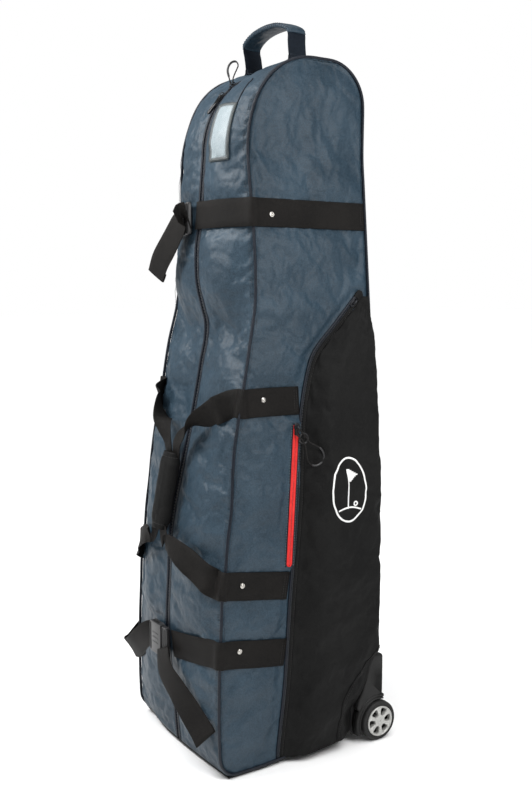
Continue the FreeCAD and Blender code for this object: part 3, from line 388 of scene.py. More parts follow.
def cloth_material(name, dark, light, roughness, pitch_mm, crinkle=0.5, **sockets):
    """Woven synthetic cloth: thread weave, crinkles, and patches of tone and gloss."""
    material, tree, shader = new_material(name, dark, roughness, **sockets)
    place = place_of(tree)
    patches = noise_of(tree, place, 12.0, 3.0, 0.55, 0.5)
    fine = noise_of(tree, place, 420.0, 3.0, 0.75)
    tone = math_node(tree, "ADD", math_node(tree, "MULTIPLY", patches, 0.3),
                     math_node(tree, "MULTIPLY", fine, 0.7))
    weave = weave_height(tree, place, pitch_mm)
    factor = math_node(tree, "ADD", ramped(tree, tone, 0.37, 0.63),
                       math_node(tree, "MULTIPLY", weave, 0.15))
    tree.links.new(mixed_colour(tree, factor, dark, light), shader.inputs["Base Color"])
    gloss = ramped(tree, fine, 0.3, 0.7, roughness - 0.06, roughness + 0.08)
    tree.links.new(gloss, shader.inputs["Roughness"])
    crumple = noise_of(tree, place, 26.0, 2.0, 0.5, 0.3)
    bumped(tree, shader, [(crumple, crinkle, 9.0), (weave, 0.35, 0.18)])
    return material


def webbing_material(name, dark, light, pitch_mm=2.1):
    """Nylon webbing: fine crosswise ribs, a slight fleck and a soft sheen."""
    material, tree, shader = new_material(name, dark, 0.6, Specular_IOR_Level=0.12)
    place = place_of(tree)
    fleck = noise_of(tree, place, 260.0, 2.0, 0.6)
    patches = noise_of(tree, place, 14.0, 3.0, 0.6)
    tone = math_node(tree, "ADD", math_node(tree, "MULTIPLY", fleck, 0.5),
                     math_node(tree, "MULTIPLY", patches, 0.5))
    weave = weave_height(tree, place, pitch_mm)
    factor = math_node(tree, "ADD", ramped(tree, tone, 0.36, 0.64),
                       math_node(tree, "MULTIPLY", weave, 0.25))
    tree.links.new(mixed_colour(tree, factor, dark, light), shader.inputs["Base Color"])
    bumped(tree, shader, [(weave, 0.6, 0.35), (fleck, 0.3, 0.25)])
    return material


def plastic_material(name, dark, light, roughness, grain=900.0, strength=0.25, **sockets):
    """Moulded plastic: fine spark-eroded grain and faint scuffs."""
    material, tree, shader = new_material(name, dark, roughness, **sockets)
    place = place_of(tree)
    texture = noise_of(tree, place, grain, 2.0, 0.6)
    scuffs = noise_of(tree, place, 35.0, 6.0, 0.7, 0.4)
    tree.links.new(mixed_colour(tree, ramped(tree, scuffs, 0.45, 0.75), dark, light),
                   shader.inputs["Base Color"])
    tree.links.new(ramped(tree, scuffs, 0.3, 0.7, roughness - 0.05, roughness + 0.1),
                   shader.inputs["Roughness"])
    bumped(tree, shader, [(texture, strength, 0.12)])
    return material


def metal_material(name, colour, roughness, brush=0.15):
    """Metal with faint tarnish and fine scratches."""
    material, tree, shader = new_material(name, colour, roughness, metallic=1.0)
    place = place_of(tree)
    tarnish = noise_of(tree, place, 120.0, 4.0, 0.6)
    dull = tuple(c * 0.72 for c in colour)
    tree.links.new(mixed_colour(tree, ramped(tree, tarnish, 0.5, 0.8), colour, dull),
                   shader.inputs["Base Color"])
    tree.links.new(ramped(tree, tarnish, 0.3, 0.7, roughness, roughness + brush),
                   shader.inputs["Roughness"])
    bumped(tree, shader, [(noise_of(tree, place, 1400.0, 2.0), 0.15, 0.05)])
    return material


NAVY = cloth_material("navy_polyester", (0.010, 0.0215, 0.033), (0.031, 0.055, 0.078), 0.44,
                      1.5, 0.75, Specular_IOR_Level=0.24)
BLACK_CLOTH = cloth_material("black_nylon", (0.0045, 0.0045, 0.0047), (0.0105, 0.0105, 0.0102),
                             0.6, 1.8, 0.45, Specular_IOR_Level=0.08)
PIPING = cloth_material("piping_cloth", (0.002, 0.004, 0.008), (0.005, 0.008, 0.015), 0.4, 1.1,
                        0.15, Specular_IOR_Level=0.22)
WEBBING = webbing_material("black_webbing", (0.0030, 0.0026, 0.0024), (0.0085, 0.0074, 0.0066))
NAVY_WEBBING = webbing_material("navy_webbing", (0.004, 0.007, 0.012), (0.009, 0.014, 0.022))
TAPE = webbing_material("zip_tape", (0.009, 0.013, 0.020), (0.018, 0.024, 0.036), 1.0)
BLACK_TAPE = webbing_material("black_tape", (0.006, 0.006, 0.006), (0.014, 0.014, 0.014), 1.0)
RED_TAPE = webbing_material("red_tape", (0.55, 0.018, 0.018), (0.78, 0.045, 0.04), 1.0)
COIL = plastic_material("zip_coil", (0.006, 0.008, 0.012), (0.02, 0.025, 0.03), 0.34, 600, 0.1)
RED_COIL = plastic_material("red_coil", (0.5, 0.015, 0.015), (0.7, 0.05, 0.05), 0.35, 600, 0.1)
THREAD = cloth_material("thread", (0.008, 0.012, 0.020), (0.02, 0.028, 0.04), 0.5, 0.6, 0.1)
DARK_THREAD = cloth_material("dark_thread", (0.012, 0.012, 0.012), (0.032, 0.031, 0.03), 0.6,
                             0.6, 0.1)
CORD = webbing_material("cord_braid", (0.007, 0.007, 0.007), (0.022, 0.021, 0.02), 0.9)
RUBBERISED = plastic_material("cord_sleeve", (0.008, 0.008, 0.009), (0.02, 0.02, 0.021), 0.38)
BUCKLE = plastic_material("buckle_acetal", (0.013, 0.013, 0.014), (0.032, 0.032, 0.034), 0.36)
MOULDED = plastic_material("guard_moulding", (0.0065, 0.0065, 0.0065), (0.015, 0.015, 0.0145),
                           0.5, 500, 0.4, Specular_IOR_Level=0.25)
TYRE = plastic_material("tyre_rubber", (0.006, 0.006, 0.006), (0.017, 0.0165, 0.016), 0.62, 420,
                        0.4, Specular_IOR_Level=0.35)
SILVER = plastic_material("cap_paint", (0.40, 0.40, 0.385), (0.52, 0.52, 0.50), 0.3, 700, 0.08,
                          metallic=0.35)
HUB = plastic_material("hub_plastic", (0.012, 0.012, 0.012), (0.03, 0.03, 0.03), 0.55)
SLIDER = metal_material("slider_lacquer", (0.035, 0.036, 0.04), 0.28)
CHROME = metal_material("rivet_chrome", (0.46, 0.44, 0.41), 0.16)
STEEL = metal_material("axle_steel", (0.48, 0.48, 0.47), 0.3)
CARD = plastic_material("card_paper", (0.21, 0.26, 0.28), (0.27, 0.32, 0.34), 0.75, 500, 0.15)
WINDOW_BINDING = cloth_material("window_binding", (0.018, 0.025, 0.026), (0.035, 0.045, 0.045),
                                0.5, 1.0, 0.1)
EMBLEM = cloth_material("emblem_print", (0.70, 0.70, 0.69), (0.80, 0.80, 0.79), 0.6, 0.9, 0.1)


def film_material():
    """Clear vinyl over the card: a thin haze with a soft shine."""
    material, tree, shader = new_material("clear_film", (0.40, 0.45, 0.47), 0.3, IOR=1.45)
    ripple = noise_of(tree, place_of(tree), 30.0, 2.0)
    tree.links.new(ramped(tree, ripple, 0.3, 0.7, 0.26, 0.36), shader.inputs["Roughness"])
    shader.inputs["Alpha"].default_value = 0.16
    return material


FILM = film_material()


# ================================================================ case form
HOOD_Y, HOOD_Z = 55.0, 1100.0
ZIP_R, SEAM_R, CREST_R = 160.0, 136.0, 167.0
HOOD_ARC = ZIP_R * math.pi / 2
BACK_Y, CORNER_R = 167.0, 75.0
CREST_Z = HOOD_Z + CREST_R
CORNER_Y = BACK_Y - CORNER_R
ZIP_EDGE = 6.0
UPPER_STRAP, LOWER_STRAP, UPPER_CARRY, LOWER_CARRY = 992.0, 219.0, 663.0, 342.0

# Height, side seam and main zip in front of the centre plane.
FRONT = [(4, 156, 179), (14, 166, 180), (30, 172, 181), (80, 175, 181), (150, 175, 183),
         (205, 174, 187), (260, 171, 188), (330, 168, 184), (380, 161, 182), (435, 156, 177),
         (484, 149, 167), (543, 144, 153), (587, 138, 142), (638, 126, 130), (692, 113, 119),
         (734, 103, 111), (770, 95, 103), (800, 88, 102), (830, 82, 110), (875, 78, 120),
         (931, 77, 121), (961, 77, 117), (1016, 79, 112), (1054, 81, 109), (1100, 81, 105)]


def half_width(z):
    return lerp(168.0, 112.0, clamp((z - 500) / 600))


def base_height(y):
    return lerp(4.5, 26.5, clamp((y + 87) / 254))


def seam_radius(angle):
    return SEAM_R + (CREST_R - SEAM_R) * math.sin(math.radians(angle)) ** 2


def front_point(x, s):
    """The front's outer face: s is the height, then the run over the hood."""
    if s <= HOOD_Z:
        share = min(1.0, abs(x) / half_width(s))
        seam, zipped = table(FRONT, 1, s), table(FRONT, 2, s)
        return Vector((x, -(seam + (zipped - seam) * (1 - share ** 2)), s))
    angle = (s - HOOD_Z) / HOOD_ARC * 90
    seam = seam_radius(angle)
    share = min(1.0, abs(x) / 112.0)
    radius = seam + (ZIP_R - seam) * (1 - share ** 2)
    bend = math.radians(angle)
    return Vector((x, HOOD_Y - radius * math.cos(bend), HOOD_Z + radius * math.sin(bend)))


def front_width(s):
    return half_width(min(s, HOOD_Z))


def front_normal(x, s):
    across = front_point(x + 1, s) - front_point(x - 1, s)
    along = front_point(x, s + 1) - front_point(x, s - 1)
    return across.cross(along).normalized()


def on_front(x, s, lift=0.0):
    return front_point(x, s) + front_normal(x, s) * lift


def seam_y(z):
    """Depth of the side seam's front run at a height, over the hood too."""
    if z <= HOOD_Z:
        return -table(FRONT, 1, z)
    low, high = 0.0, 90.0
    for _ in range(24):
        middle = (low + high) / 2
        if seam_radius(middle) * math.sin(math.radians(middle)) < z - HOOD_Z:
            low = middle
        else:
            high = middle
    return HOOD_Y - seam_radius(low) * math.cos(math.radians(low))


def back_y(z):
    rise = z - (CREST_Z - CORNER_R)
    if rise <= 0:
        return BACK_Y
    return CORNER_Y + math.sqrt(max(0.0, CORNER_R ** 2 - rise ** 2))


SIDE_STRAPS = (UPPER_STRAP, UPPER_CARRY, LOWER_CARRY, LOWER_STRAP)


def cinch(z, bands=SIDE_STRAPS, reach=52):
    """1 under a strap, falling to 0 away from it."""
    return max(1 - smooth(abs(z - band), 23, reach) for band in bands)


# ================================================================ panels
CLOTH_STRETCH, CLOTH_SHEAR = 15, 8


def crumpled(grid, pinned, grow, cap, bend=0.4, frames=18, seed=0.0):
    """A panel's grid after a short cloth run: pinned points stay, spare cloth buckles."""
    rows, columns = len(grid), len(grid[0])
    normals = grid_normals(grid)
    free = [[0.0 if pinned(i, j, grid[i][j]) else 1.0 for j in range(columns)]
            for i in range(rows)]
    start = [[grid[i][j] + normals[i][j] * free[i][j]
              * (1.1 * fbm(grid[i][j], 60) + 0.7 * fbm(grid[i][j] + Vector((seed, 9, 4)), 24))
              for j in range(columns)] for i in range(rows)]
    mesh = bpy.data.meshes.new("cloth_run")
    mesh.from_pydata([tuple(p * MM) for line in start for p in line], [],
                     grid_faces(rows, columns))
    cloth = bpy.data.objects.new("cloth_run", mesh)
    SCENE.collection.objects.link(cloth)
    group = cloth.vertex_groups.new(name="pin")
    group.add([i * columns + j for i in range(rows) for j in range(columns)
               if not free[i][j]], 1.0, "REPLACE")
    run = cloth.modifiers.new("run", "CLOTH")
    run.settings.quality = 5
    run.settings.mass = 0.2
    run.settings.tension_stiffness = run.settings.compression_stiffness = CLOTH_STRETCH
    run.settings.shear_stiffness = CLOTH_SHEAR
    run.settings.bending_stiffness = bend
    run.settings.tension_damping = run.settings.compression_damping = 5
    run.settings.air_damping = 4
    run.settings.vertex_group_mass = "pin"
    run.settings.shrink_min = run.settings.shrink_max = -grow
    run.settings.effector_weights.gravity = 0
    run.collision_settings.use_collision = False
    run.point_cache.frame_start, run.point_cache.frame_end = 1, frames
    for frame_number in range(1, frames + 1):
        SCENE.frame_set(frame_number)
    settled = cloth.evaluated_get(bpy.context.evaluated_depsgraph_get()).to_mesh()
    points = [v.co / MM for v in settled.vertices]
    out = []
    for i in range(rows):
        line = []
        for j in range(columns):
            move = points[i * columns + j] - grid[i][j]
            if move.length > cap:
                move = move.normalized() * cap
            line.append(grid[i][j] + move)
        out.append(line)
    bpy.data.objects.remove(cloth)
    SCENE.frame_set(1)
    return out


def refined(grid, detail):
    """The grid with each cell halved both ways along smooth curves, and fine creases."""
    rows = [spline(line, 2) for line in grid]
    columns = list(zip(*rows))
    rows = list(zip(*[spline(line, 2) for line in columns]))
    normals = grid_normals(rows)
    return [[p + n * detail(i / (len(rows) - 1), j / (len(rows[0]) - 1), p)
             for j, (p, n) in enumerate(zip(line, ns))]
            for i, (line, ns) in enumerate(zip(rows, normals))]


def creased(amount, edge=0.05):
    """Fine sharp creases, fading out at the panel's borders."""
    def detail(v, u, p):
        fade = smooth(min(u, 1 - u), 0, edge) * smooth(min(v, 1 - v), 0, 0.012)
        patchy = smooth(fbm(p, 130, 2), -0.35, 0.5)
        return fade * amount * (patchy * (0.9 * crease(p, 62) + 0.7 * crease(p, 34, 3.0))
                                + 0.35 * fbm(p, 16, 2) - 0.35)
    return detail


FRONT_ROWS, FRONT_COLUMNS = 190, 22
S_END = HOOD_Z + HOOD_ARC


def front_grid(side):
    grid = []
    for i in range(FRONT_ROWS + 1):
        s = lerp(4.5, S_END - 1, i / FRONT_ROWS)
        width = front_width(s) - 0.6
        line = []
        for j in range(FRONT_COLUMNS + 1):
            share = j / FRONT_COLUMNS
            x = lerp(ZIP_EDGE, width, share)
            puff = 5.5 * math.sin(math.pi * share) ** 0.8
            if s <= HOOD_Z:
                puff *= 1 - 0.85 * cinch(s, (UPPER_STRAP, LOWER_STRAP))
                puff -= 9 * bump_at(s, 792, 70) * math.sin(math.pi * share)
                puff += 3 * bump_at(s, 880, 60) * math.sin(math.pi * share)
            puff *= smooth(S_END - s, 0, 60) * smooth(s, 4, 60)
            point = on_front(x, s, puff - 1.6 * smooth(share, 0.975, 1) )
            line.append(Vector((point.x * side, point.y, point.z)))
        grid.append(line)
    return grid


def front_pinned(i, j, p):
    if i in (0, FRONT_ROWS) or j < 2 or j > FRONT_COLUMNS - 1:
        return True
    return any(abs(p.z - band) < 20 for band in (UPPER_STRAP, LOWER_STRAP))


def side_rows():
    rows = [1100 * k / 140 for k in range(140)]
    return rows + [HOOD_Z + CREST_R * math.sin(math.radians(90 * k / 24)) for k in range(25)]


SIDE_COLUMNS = 40
POCKET_EDGE = [(-50, 26), (-36, 144), (-25, 307), (-14, 430), (-7, 529), (2, 617), (10, 661),
               (22, 704), (38, 742), (150, 854)]


def pocket_edge(z):
    for (low_y, low), (high_y, high) in zip(POCKET_EDGE, POCKET_EDGE[1:]):
        if z <= high:
            return low_y + (high_y - low_y) * (z - low) / (high - low)
    return POCKET_EDGE[-1][0]


ACCENT_TOP, ACCENT_LOW = Vector((163.9, -13.5, 622)), Vector((175.4, -35.5, 368))


def accent_share(y, z):
    """1 along the short zip of the right side, falling to 0 around it."""
    t = (z - ACCENT_LOW.z) / (ACCENT_TOP.z - ACCENT_LOW.z)
    past = 254 * max(0.0, -t, t - 1)
    aside = y - lerp(ACCENT_LOW.y, ACCENT_TOP.y, clamp(t))
    across = smooth(aside, 8, 15) if aside > 0 else smooth(-aside, 11, 34)
    return (1 - across) * (1 - smooth(past, 1, 11))


def side_grid(side):
    grid = []
    for nominal in side_rows():
        line = []
        for j in range(SIDE_COLUMNS + 1):
            u = j / SIDE_COLUMNS
            y = lerp(seam_y(nominal) + 0.8, back_y(nominal) - 0.8, u)
            z = nominal + base_height(y) * (1 - nominal / 150) if nominal < 150 else nominal
            z -= 0.8 * smooth(nominal, 1250, 1267)
            edge = math.sin(math.pi * clamp(u)) ** 0.6
            puff = 6.5 * edge * (1 - 0.9 * cinch(z)) * smooth(CREST_Z - z, 0, 55)
            puff *= smooth(nominal, 0, 60)
            if z < 860:
                puff *= 1 - smooth(y, pocket_edge(z) - 40, pocket_edge(z) - 12)
            x = half_width(z) + puff - 1.4 * (1 - smooth(min(u, 1 - u), 0, 0.02))
            if side > 0:
                t = clamp((z - ACCENT_LOW.z) / (ACCENT_TOP.z - ACCENT_LOW.z))
                level = lerp(ACCENT_LOW.x, ACCENT_TOP.x, t) - 0.3
                x = lerp(x, level, accent_share(y, z))
            line.append(Vector((x * side, y, z)))
        grid.append(line)
    return grid


def side_pinned(i, j, p):
    if i in (0, len(side_rows()) - 1) or j in (0, SIDE_COLUMNS):
        return True
    if p.z < 870 and p.y > pocket_edge(p.z) - 12:
        return True
    if p.x > 0 and accent_share(p.y, p.z) > 0.7:
        return True
    return any(abs(p.z - band) < 20 for band in SIDE_STRAPS)


def back_grid():
    path = [Vector((0, lerp(HOOD_Y + 0.4, CORNER_Y, k / 5), CREST_Z)) for k in range(5)]
    path += [Vector((0, CORNER_Y + CORNER_R * math.sin(a), CREST_Z - CORNER_R * (1 - math.cos(a))))
             for a in (math.radians(90 * k / 14) for k in range(14))]
    path += [Vector((0, BACK_Y, lerp(CREST_Z - CORNER_R, 27, k / 132))) for k in range(133)]
    grid = []
    for k, p in enumerate(path):
        before, after = path[max(k - 1, 0)], path[min(k + 1, len(path) - 1)]
        along = (after - before).normalized()
        out = Vector((1, 0, 0)).cross(along) * -1
        line = []
        for j in range(41):
            u = j / 40
            x = lerp(-1, 1, u) * (half_width(p.z) - 0.6)
            puff = 3.0 * math.sin(math.pi * u) ** 0.5 * smooth(k, 0, 8) * smooth(150 - k, 0, 8)
            puff -= 1.4 * (1 - smooth(min(u, 1 - u), 0, 0.02))
            line.append(Vector((x, p.y, p.z)) + out * puff)
        grid.append(line)
    return grid


def back_pinned(i, j, p):
    return i in (0, 151) or j in (0, 40)


def make_panel(name, grid, pinned, grow, cap, amount, node_name, flip=False, **more):
    grid = refined(crumpled(grid, pinned, grow, cap, **more), creased(amount))
    verts, faces = shell_from_grid(grid, 2.2, flip)
    return piece(name, verts, faces, NAVY, "case", (node_name,))


PANELS = {}
for side, word in ((1, "right"), (-1, "left")):
    PANELS["front_" + word] = make_panel(
        "front_panel_cloth_" + word, front_grid(side), front_pinned, 0.014, 7, 1.3,
        "front_panel_" + word, flip=side < 0, seed=side * 20)
    PANELS["side_" + word] = make_panel(
        "side_panel_cloth_" + word, side_grid(side), side_pinned, 0.012, 7, 1.4,
        "side_panel_" + word, flip=side < 0, seed=side * 33)
PANELS["back"] = make_panel("back_panel_cloth", back_grid(), back_pinned, 0.008, 5, 1.0,
                            "back_panel", flip=False)


# ================================================================ surfaces to lay things on
class Surface:
    """Finds where a ray meets finished panels."""

    def __init__(self, *objects):
        verts, faces = [], []
        for obj in objects:
            start = len(verts)
            verts += [v.co / MM for v in obj.data.vertices]
            faces += [[start + k for k in p.vertices] for p in obj.data.polygons]
        self.tree = BVHTree.FromPolygons(verts, faces)

    def hit(self, origin, direction, reach=120.0):
        place, normal, _, _ = self.tree.ray_cast(Vector(origin), Vector(direction).normalized(),
                                                 reach)
        return (place, normal) if place else (None, None)


SKIN = Surface(*PANELS.values())


def lay_front(x, s, lift):
    """A point lying on the finished front at x and s."""
    out = front_normal(x, s)
    place, _ = SKIN.hit(front_point(x, s) + out * 40, -out, 80)
    return (place if place else front_point(x, s)) + out * lift


def lay_side(y, z, lift, side=1):
    place, _ = SKIN.hit((side * 260, y, z), (-side, 0, 0), 160)
    return Vector((place.x + side * lift if place else side * (half_width(z) + lift), y, z))


def frame_matrix(origin, x_axis, y_axis, z_axis):
    columns = [Vector(a).normalized() for a in (x_axis, y_axis, z_axis)]
    matrix = Matrix.Identity(4)
    for k, axis in enumerate(columns + [Vector(origin)]):
        for row in range(3):
            matrix[row][k] = axis[row]
    return matrix


def plate(outlines, thickness, bevel=0.6, matrix=None, steps=2):
    """A flat plate with holes and rounded edges, from outlines in its own plane."""
    curve = bpy.data.curves.new("plate", "CURVE")
    curve.dimensions, curve.fill_mode = "2D", "BOTH"
    curve.extrude = thickness / 2 - bevel
    curve.bevel_depth, curve.bevel_resolution, curve.offset = bevel, steps, -bevel
    for outline in outlines:
        line = curve.splines.new("POLY")
        line.points.add(len(outline) - 1)
        for point, (x, y) in zip(line.points, outline):
            point.co = (x, y, 0, 1)
        line.use_cyclic_u = True
    obj = bpy.data.objects.new("plate", curve)
    SCENE.collection.objects.link(obj)
    bpy.context.view_layer.update()
    mesh = bpy.data.meshes.new_from_object(obj)
    shape = bmesh.new()
    shape.from_mesh(mesh)
    bmesh.ops.remove_doubles(shape, verts=shape.verts, dist=0.002)
    bmesh.ops.recalc_face_normals(shape, faces=shape.faces)
    verts = [v.co + Vector((0, 0, thickness / 2)) for v in shape.verts]
    shape.verts.index_update()
    faces = [tuple(v.index for v in face.verts) for face in shape.faces]
    shape.free()
    bpy.data.objects.remove(obj)
    bpy.data.meshes.remove(mesh)
    if matrix is not None:
        verts = [matrix @ v for v in verts]
    return verts, faces


def rounded(corners, radius, steps=4):
    """An outline with its corners rounded."""
    out, count = [], len(corners)
    for k, corner in enumerate(corners):
        p = Vector(corner)
        a, b = Vector(corners[k - 1]) - p, Vector(corners[(k + 1) % count]) - p
        r = radius[k] if isinstance(radius, (list, tuple)) else radius
        half = a.angle(b) / 2
        reach = min(r / max(math.tan(half), 1e-3), 0.48 * min(a.length, b.length))
        first, last = p + a.normalized() * reach, p + b.normalized() * reach
        for step in range(steps + 1):
            t = step / steps
            out.append(tuple(first * (1 - t) ** 2 + p * 2 * t * (1 - t) + last * t * t))
    return out


def rectangle(x0, x1, y0, y1, radius, steps=4):
    return rounded([(x0, y0), (x1, y0), (x1, y1), (x0, y1)], radius, steps)


def circle(x, y, radius, sides=28):
    return [(x + radius * math.cos(2 * math.pi * k / sides),
             y + radius * math.sin(2 * math.pi * k / sides)) for k in range(sides)]


# ================================================================ piping and seams
def seam_path(side):
    path = [(half_width(0) + 1.0, y, base_height(y) + 2.2) for y in (96, 40, -20, -80, -115, -136)]
    path += [(169.0, -150, 8), (169.2, -160, 13), (169.2, -168, 22)]
    path += [(half_width(z) + 1.2, seam_y(z) - 1.4, z)
             for z in (34, 60, 90, 130, 180, 230, 280, 330, 380, 430, 484, 543, 590, 640, 692, 734,
                       770, 800, 830, 875, 925, 970, 1016, 1060, 1100)]
    for angle in range(8, 91, 8):
        bend, radius = math.radians(angle), seam_radius(angle) + 1.6
        path.append((113.2, HOOD_Y - radius * math.cos(bend), HOOD_Z + radius * math.sin(bend)))
    path.append((113.2, 74, CREST_Z + 1.6))
    for angle in range(0, 91, 10):
        bend, radius = math.radians(angle), CORNER_R + 1.6
        path.append((113.2, CORNER_Y + radius * math.sin(bend),
                     CREST_Z - CORNER_R + radius * math.cos(bend)))
    path += [(half_width(z) + 1.2, BACK_Y + 1.4, z) for z in range(1150, 169, -50)]
    path.append((169.2, BACK_Y + 1.4, 172))
    return [Vector((x * side, y, z)) for x, y, z in path]


def make_piping():
    parts = []
    for side in (1, -1):
        path = evenly(spline(seam_path(side), 4), 6.0)
        parts.append(sweep(path, ring_of(2.7, 10)))
    verts, faces = joined(parts)
    piece("side_piping_cord", verts, faces, PIPING, "case", ("side_piping",))
    threads = []
    for side in (1, -1):
        for inset in (7.0, 9.6):
            points, normals = [], []
            s = 26.0
            while s < S_END - 30:
                x = (front_width(s) - inset) * side
                points.append(lay_front(x, s, 0.0))
                normals.append(front_normal(x, s))
                s += 12
            threads.append(stitches(points, normals))
        points = [lay_side(seam_y(z) + 6.5, z, 0.0, side) for z in range(40, 1240, 12)]
        threads.append(stitches(points, [Vector((side, 0, 0))] * len(points)))
    verts, faces = joined(threads)
    piece("seam_stitching", verts, faces, THREAD, "case")


make_piping()


# ================================================================ main zip
def zip_line(first, last, gap):
    count = int((last - first) / gap)
    return [lerp(first, last, k / count) for k in range(count + 1)]


def make_zip_band(word, side):
    """One tape and its folded cloth lip beside the teeth."""
    line = zip_line(5, S_END - 22, 7)
    path = [front_point(0, s) for s in line]
    frames = [(Vector((side, 0, 0)), front_normal(0, s)) for s in line]
    tape = [(0.2, -2.6), (6.6, -2.6), (6.6, -1.8), (3.4, -1.7), (0.2, -1.9)]
    verts, faces = sweep(path, tape if side > 0 else tape[::-1], frames)
    piece("main_zip_tape_woven_" + word, verts, faces, TAPE, "case",
          ("main_zip_tape_" + word,))
    lip = [(3.6, -1.9), (3.4, -0.7), (4.0, 0.5), (5.4, 1.0), (7.6, 0.9), (9.4, 0.2), (9.6, -1.6)]
    verts, faces = sweep(path, lip if side > 0 else lip[::-1], frames)
    piece("zip_lip_" + word, verts, faces, PIPING, "case")
    points = [front_point(0, s) + Vector((side * 7.4, 0, 0)) for s in line]
    verts, faces = stitches(points, [front_normal(0, s) for s in line], lift=0.95)
    piece("zip_stitching_" + word, verts, faces, THREAD, "case")


def coil_teeth(points, sides_of, outs, width, pitch, height=1.3):
    """Rounded coil turns lying across a zip line, leaning in turn left and right."""
    parts = []
    dense = evenly(points, pitch)
    last = len(dense) - 1
    for k in range(1, last):
        share = k / last * (len(points) - 1)
        base = min(int(share), len(points) - 2)
        out = Vector(outs[base]).lerp(Vector(outs[base + 1]), share - base).normalized()
        along = (dense[k + 1] - dense[k - 1]).normalized()
        across = Vector(sides_of[base])
        lean = along * (0.22 * pitch) * (1 if k % 2 else -1)
        a, b = -across * width / 2 - lean, across * width / 2 + lean
        thick = along * pitch * 0.3
        verts = [dense[k] + a - thick, dense[k] + a + thick, dense[k] + b + thick,
                 dense[k] + b - thick]
        top = out * height
        verts += [v.lerp(dense[k], 0.16) + top for v in verts]
        parts.append((verts, [(0, 1, 2, 3), (7, 6, 5, 4), (0, 4, 5, 1), (1, 5, 6, 2),
                              (2, 6, 7, 3), (3, 7, 4, 0)]))
    return joined(parts)


def make_main_zip():
    for word, side in (("right", 1), ("left", -1)):
        make_zip_band(word, side)
    line = zip_line(8, S_END - 24, 7)
    outs = [front_normal(0, s) for s in line]
    points = [front_point(0, s) - out * 1.9 for s, out in zip(line, outs)]
    verts, faces = coil_teeth(points, [Vector((1, 0, 0))] * len(points), outs, 5.6, 2.8)
    piece("main_zip_coil", verts, faces, COIL, "case")


make_main_zip()


# ================================================================ sliders and cord pulls
def hood_matrix(angle, lift):
    bend = math.radians(angle)
    out = Vector((0, -math.cos(bend), math.sin(bend)))
    up = Vector((0, math.sin(bend), math.cos(bend)))
    return frame_matrix(Vector((0, HOOD_Y, HOOD_Z)) + out * (ZIP_R + lift), up.cross(out), up, out)


def slider_parts(matrix):
    """A zip slider: waisted double plate, side guides and a rounded bail."""
    shape = rounded([(-3.9, -11), (3.9, -11), (4.6, -3), (6, 3), (5.6, 9.4), (2, 11), (-2, 11),
                     (-5.6, 9.4), (-6, 3), (-4.6, -3)], 2.0, 3)
    parts = [plate([shape], 1.8, 0.7, matrix)]
    bail = spline([(0, -6.4, 1.2), (0, -6.2, 4.6), (0, -3.8, 7.0), (0, 0, 7.6), (0, 3.8, 7.0),
                   (0, 6.2, 4.6), (0, 6.4, 1.2)], 4)
    verts, faces = sweep(bail, [(a * 1.45, b * 0.62) for a, b in ring_of(1, 8)],
                         transport(bail, first=Vector((0, 1, 0))))
    parts.append(([matrix @ v for v in verts], faces))
    for x in (-3.4, 3.4):
        rib = spline([(x, -8.5, 1.5), (x * 1.05, -2, 2.3), (x * 1.2, 4, 2.4), (x, 9, 1.5)], 4)
        verts, faces = sweep(rib, ring_of(0.75, 6))
        parts.append(([matrix @ v for v in verts], faces))
    return joined(parts)


def nurbs(name, points, radius):
    """A smooth cord curve whose control points are a route's points, in millimetres."""
    curve = bpy.data.curves.new(name, "CURVE")
    curve.dimensions = "3D"
    line = curve.splines.new("NURBS")
    line.points.add(len(points) - 1)
    for knot, point in zip(line.points, points):
        knot.co = (*(Vector(point) * MM), 1)
    line.order_u = 3
    line.use_endpoint_u = True
    line.resolution_u = 8
    curve.bevel_depth = radius * MM
    curve.bevel_resolution = 4
    curve.use_fill_caps = True
    obj = bpy.data.objects.new(name, curve)
    SCENE.collection.objects.link(obj)
    return obj


def nurbs_path(points):
    """The smooth line that a cord with these control points follows."""
    guide = nurbs("guide", points, 0)
    bpy.context.view_layer.update()
    mesh = bpy.data.meshes.new_from_object(guide)
    line = [v.co / MM for v in mesh.vertices]
    bpy.data.objects.remove(guide)
    bpy.data.meshes.remove(mesh)
    return line


def stretch_of(path, low, high):
    """The part of a path between two shares of its length."""
    dense = evenly(path, 1.0)
    return dense[int(low * (len(dense) - 1)):int(high * (len(dense) - 1)) + 1]


CORD_RADIUS = 1.2
UPPER_PULL = [(0.2, 0, 4.4), (3.9, 0.1, 4.5), (3.8, 4, 11.5), (2.6, 12.7, 16.1),
              (4.6, 21.2, 20.9), (6.4, 28.4, 25.2), (4.3, 30.4, 32.6), (0, 25, 36.4),
              (-3.8, 16.1, 34.2), (-5, 8.9, 27.8), (-3.8, 5.2, 19.6), (-3.8, 2, 11.5),
              (-3.9, 0.1, 4.5), (-0.2, 0, 4.4)]
LOWER_PULL = [(0.2, 0, 4.4), (3.9, -0.4, 4.7), (3.6, -8, 4.6), (-1, -18, 1.8), (-7, -28, -0.2),
              (-10.5, -37.5, -1.8), (-16.5, -36, -1.6), (-13, -26, 0.2), (-7.4, -16, 2.2),
              (-4.2, -8, 4.6), (-3.9, -0.4, 4.7), (-0.2, 0, 4.4)]
ACCENT_PULL = [(0.2, 0, 4.4), (3.9, -0.4, 4.7), (9.5, -7, 7), (17.5, -16, 9), (25, -24, 9.5),
               (36, -28, 11.5), (49, -35, 14), (53.5, -49, 15), (46, -62, 14), (31, -65, 11.5),
               (20.5, -56, 10), (17.5, -43, 9.5), (15.5, -32, 9.2), (11, -22, 8.5), (5, -15, 7),
               (-2.2, -11, 5.4), (-5, -5.5, 4.8), (-3.9, -0.4, 4.7), (-0.2, 0, 4.4)]


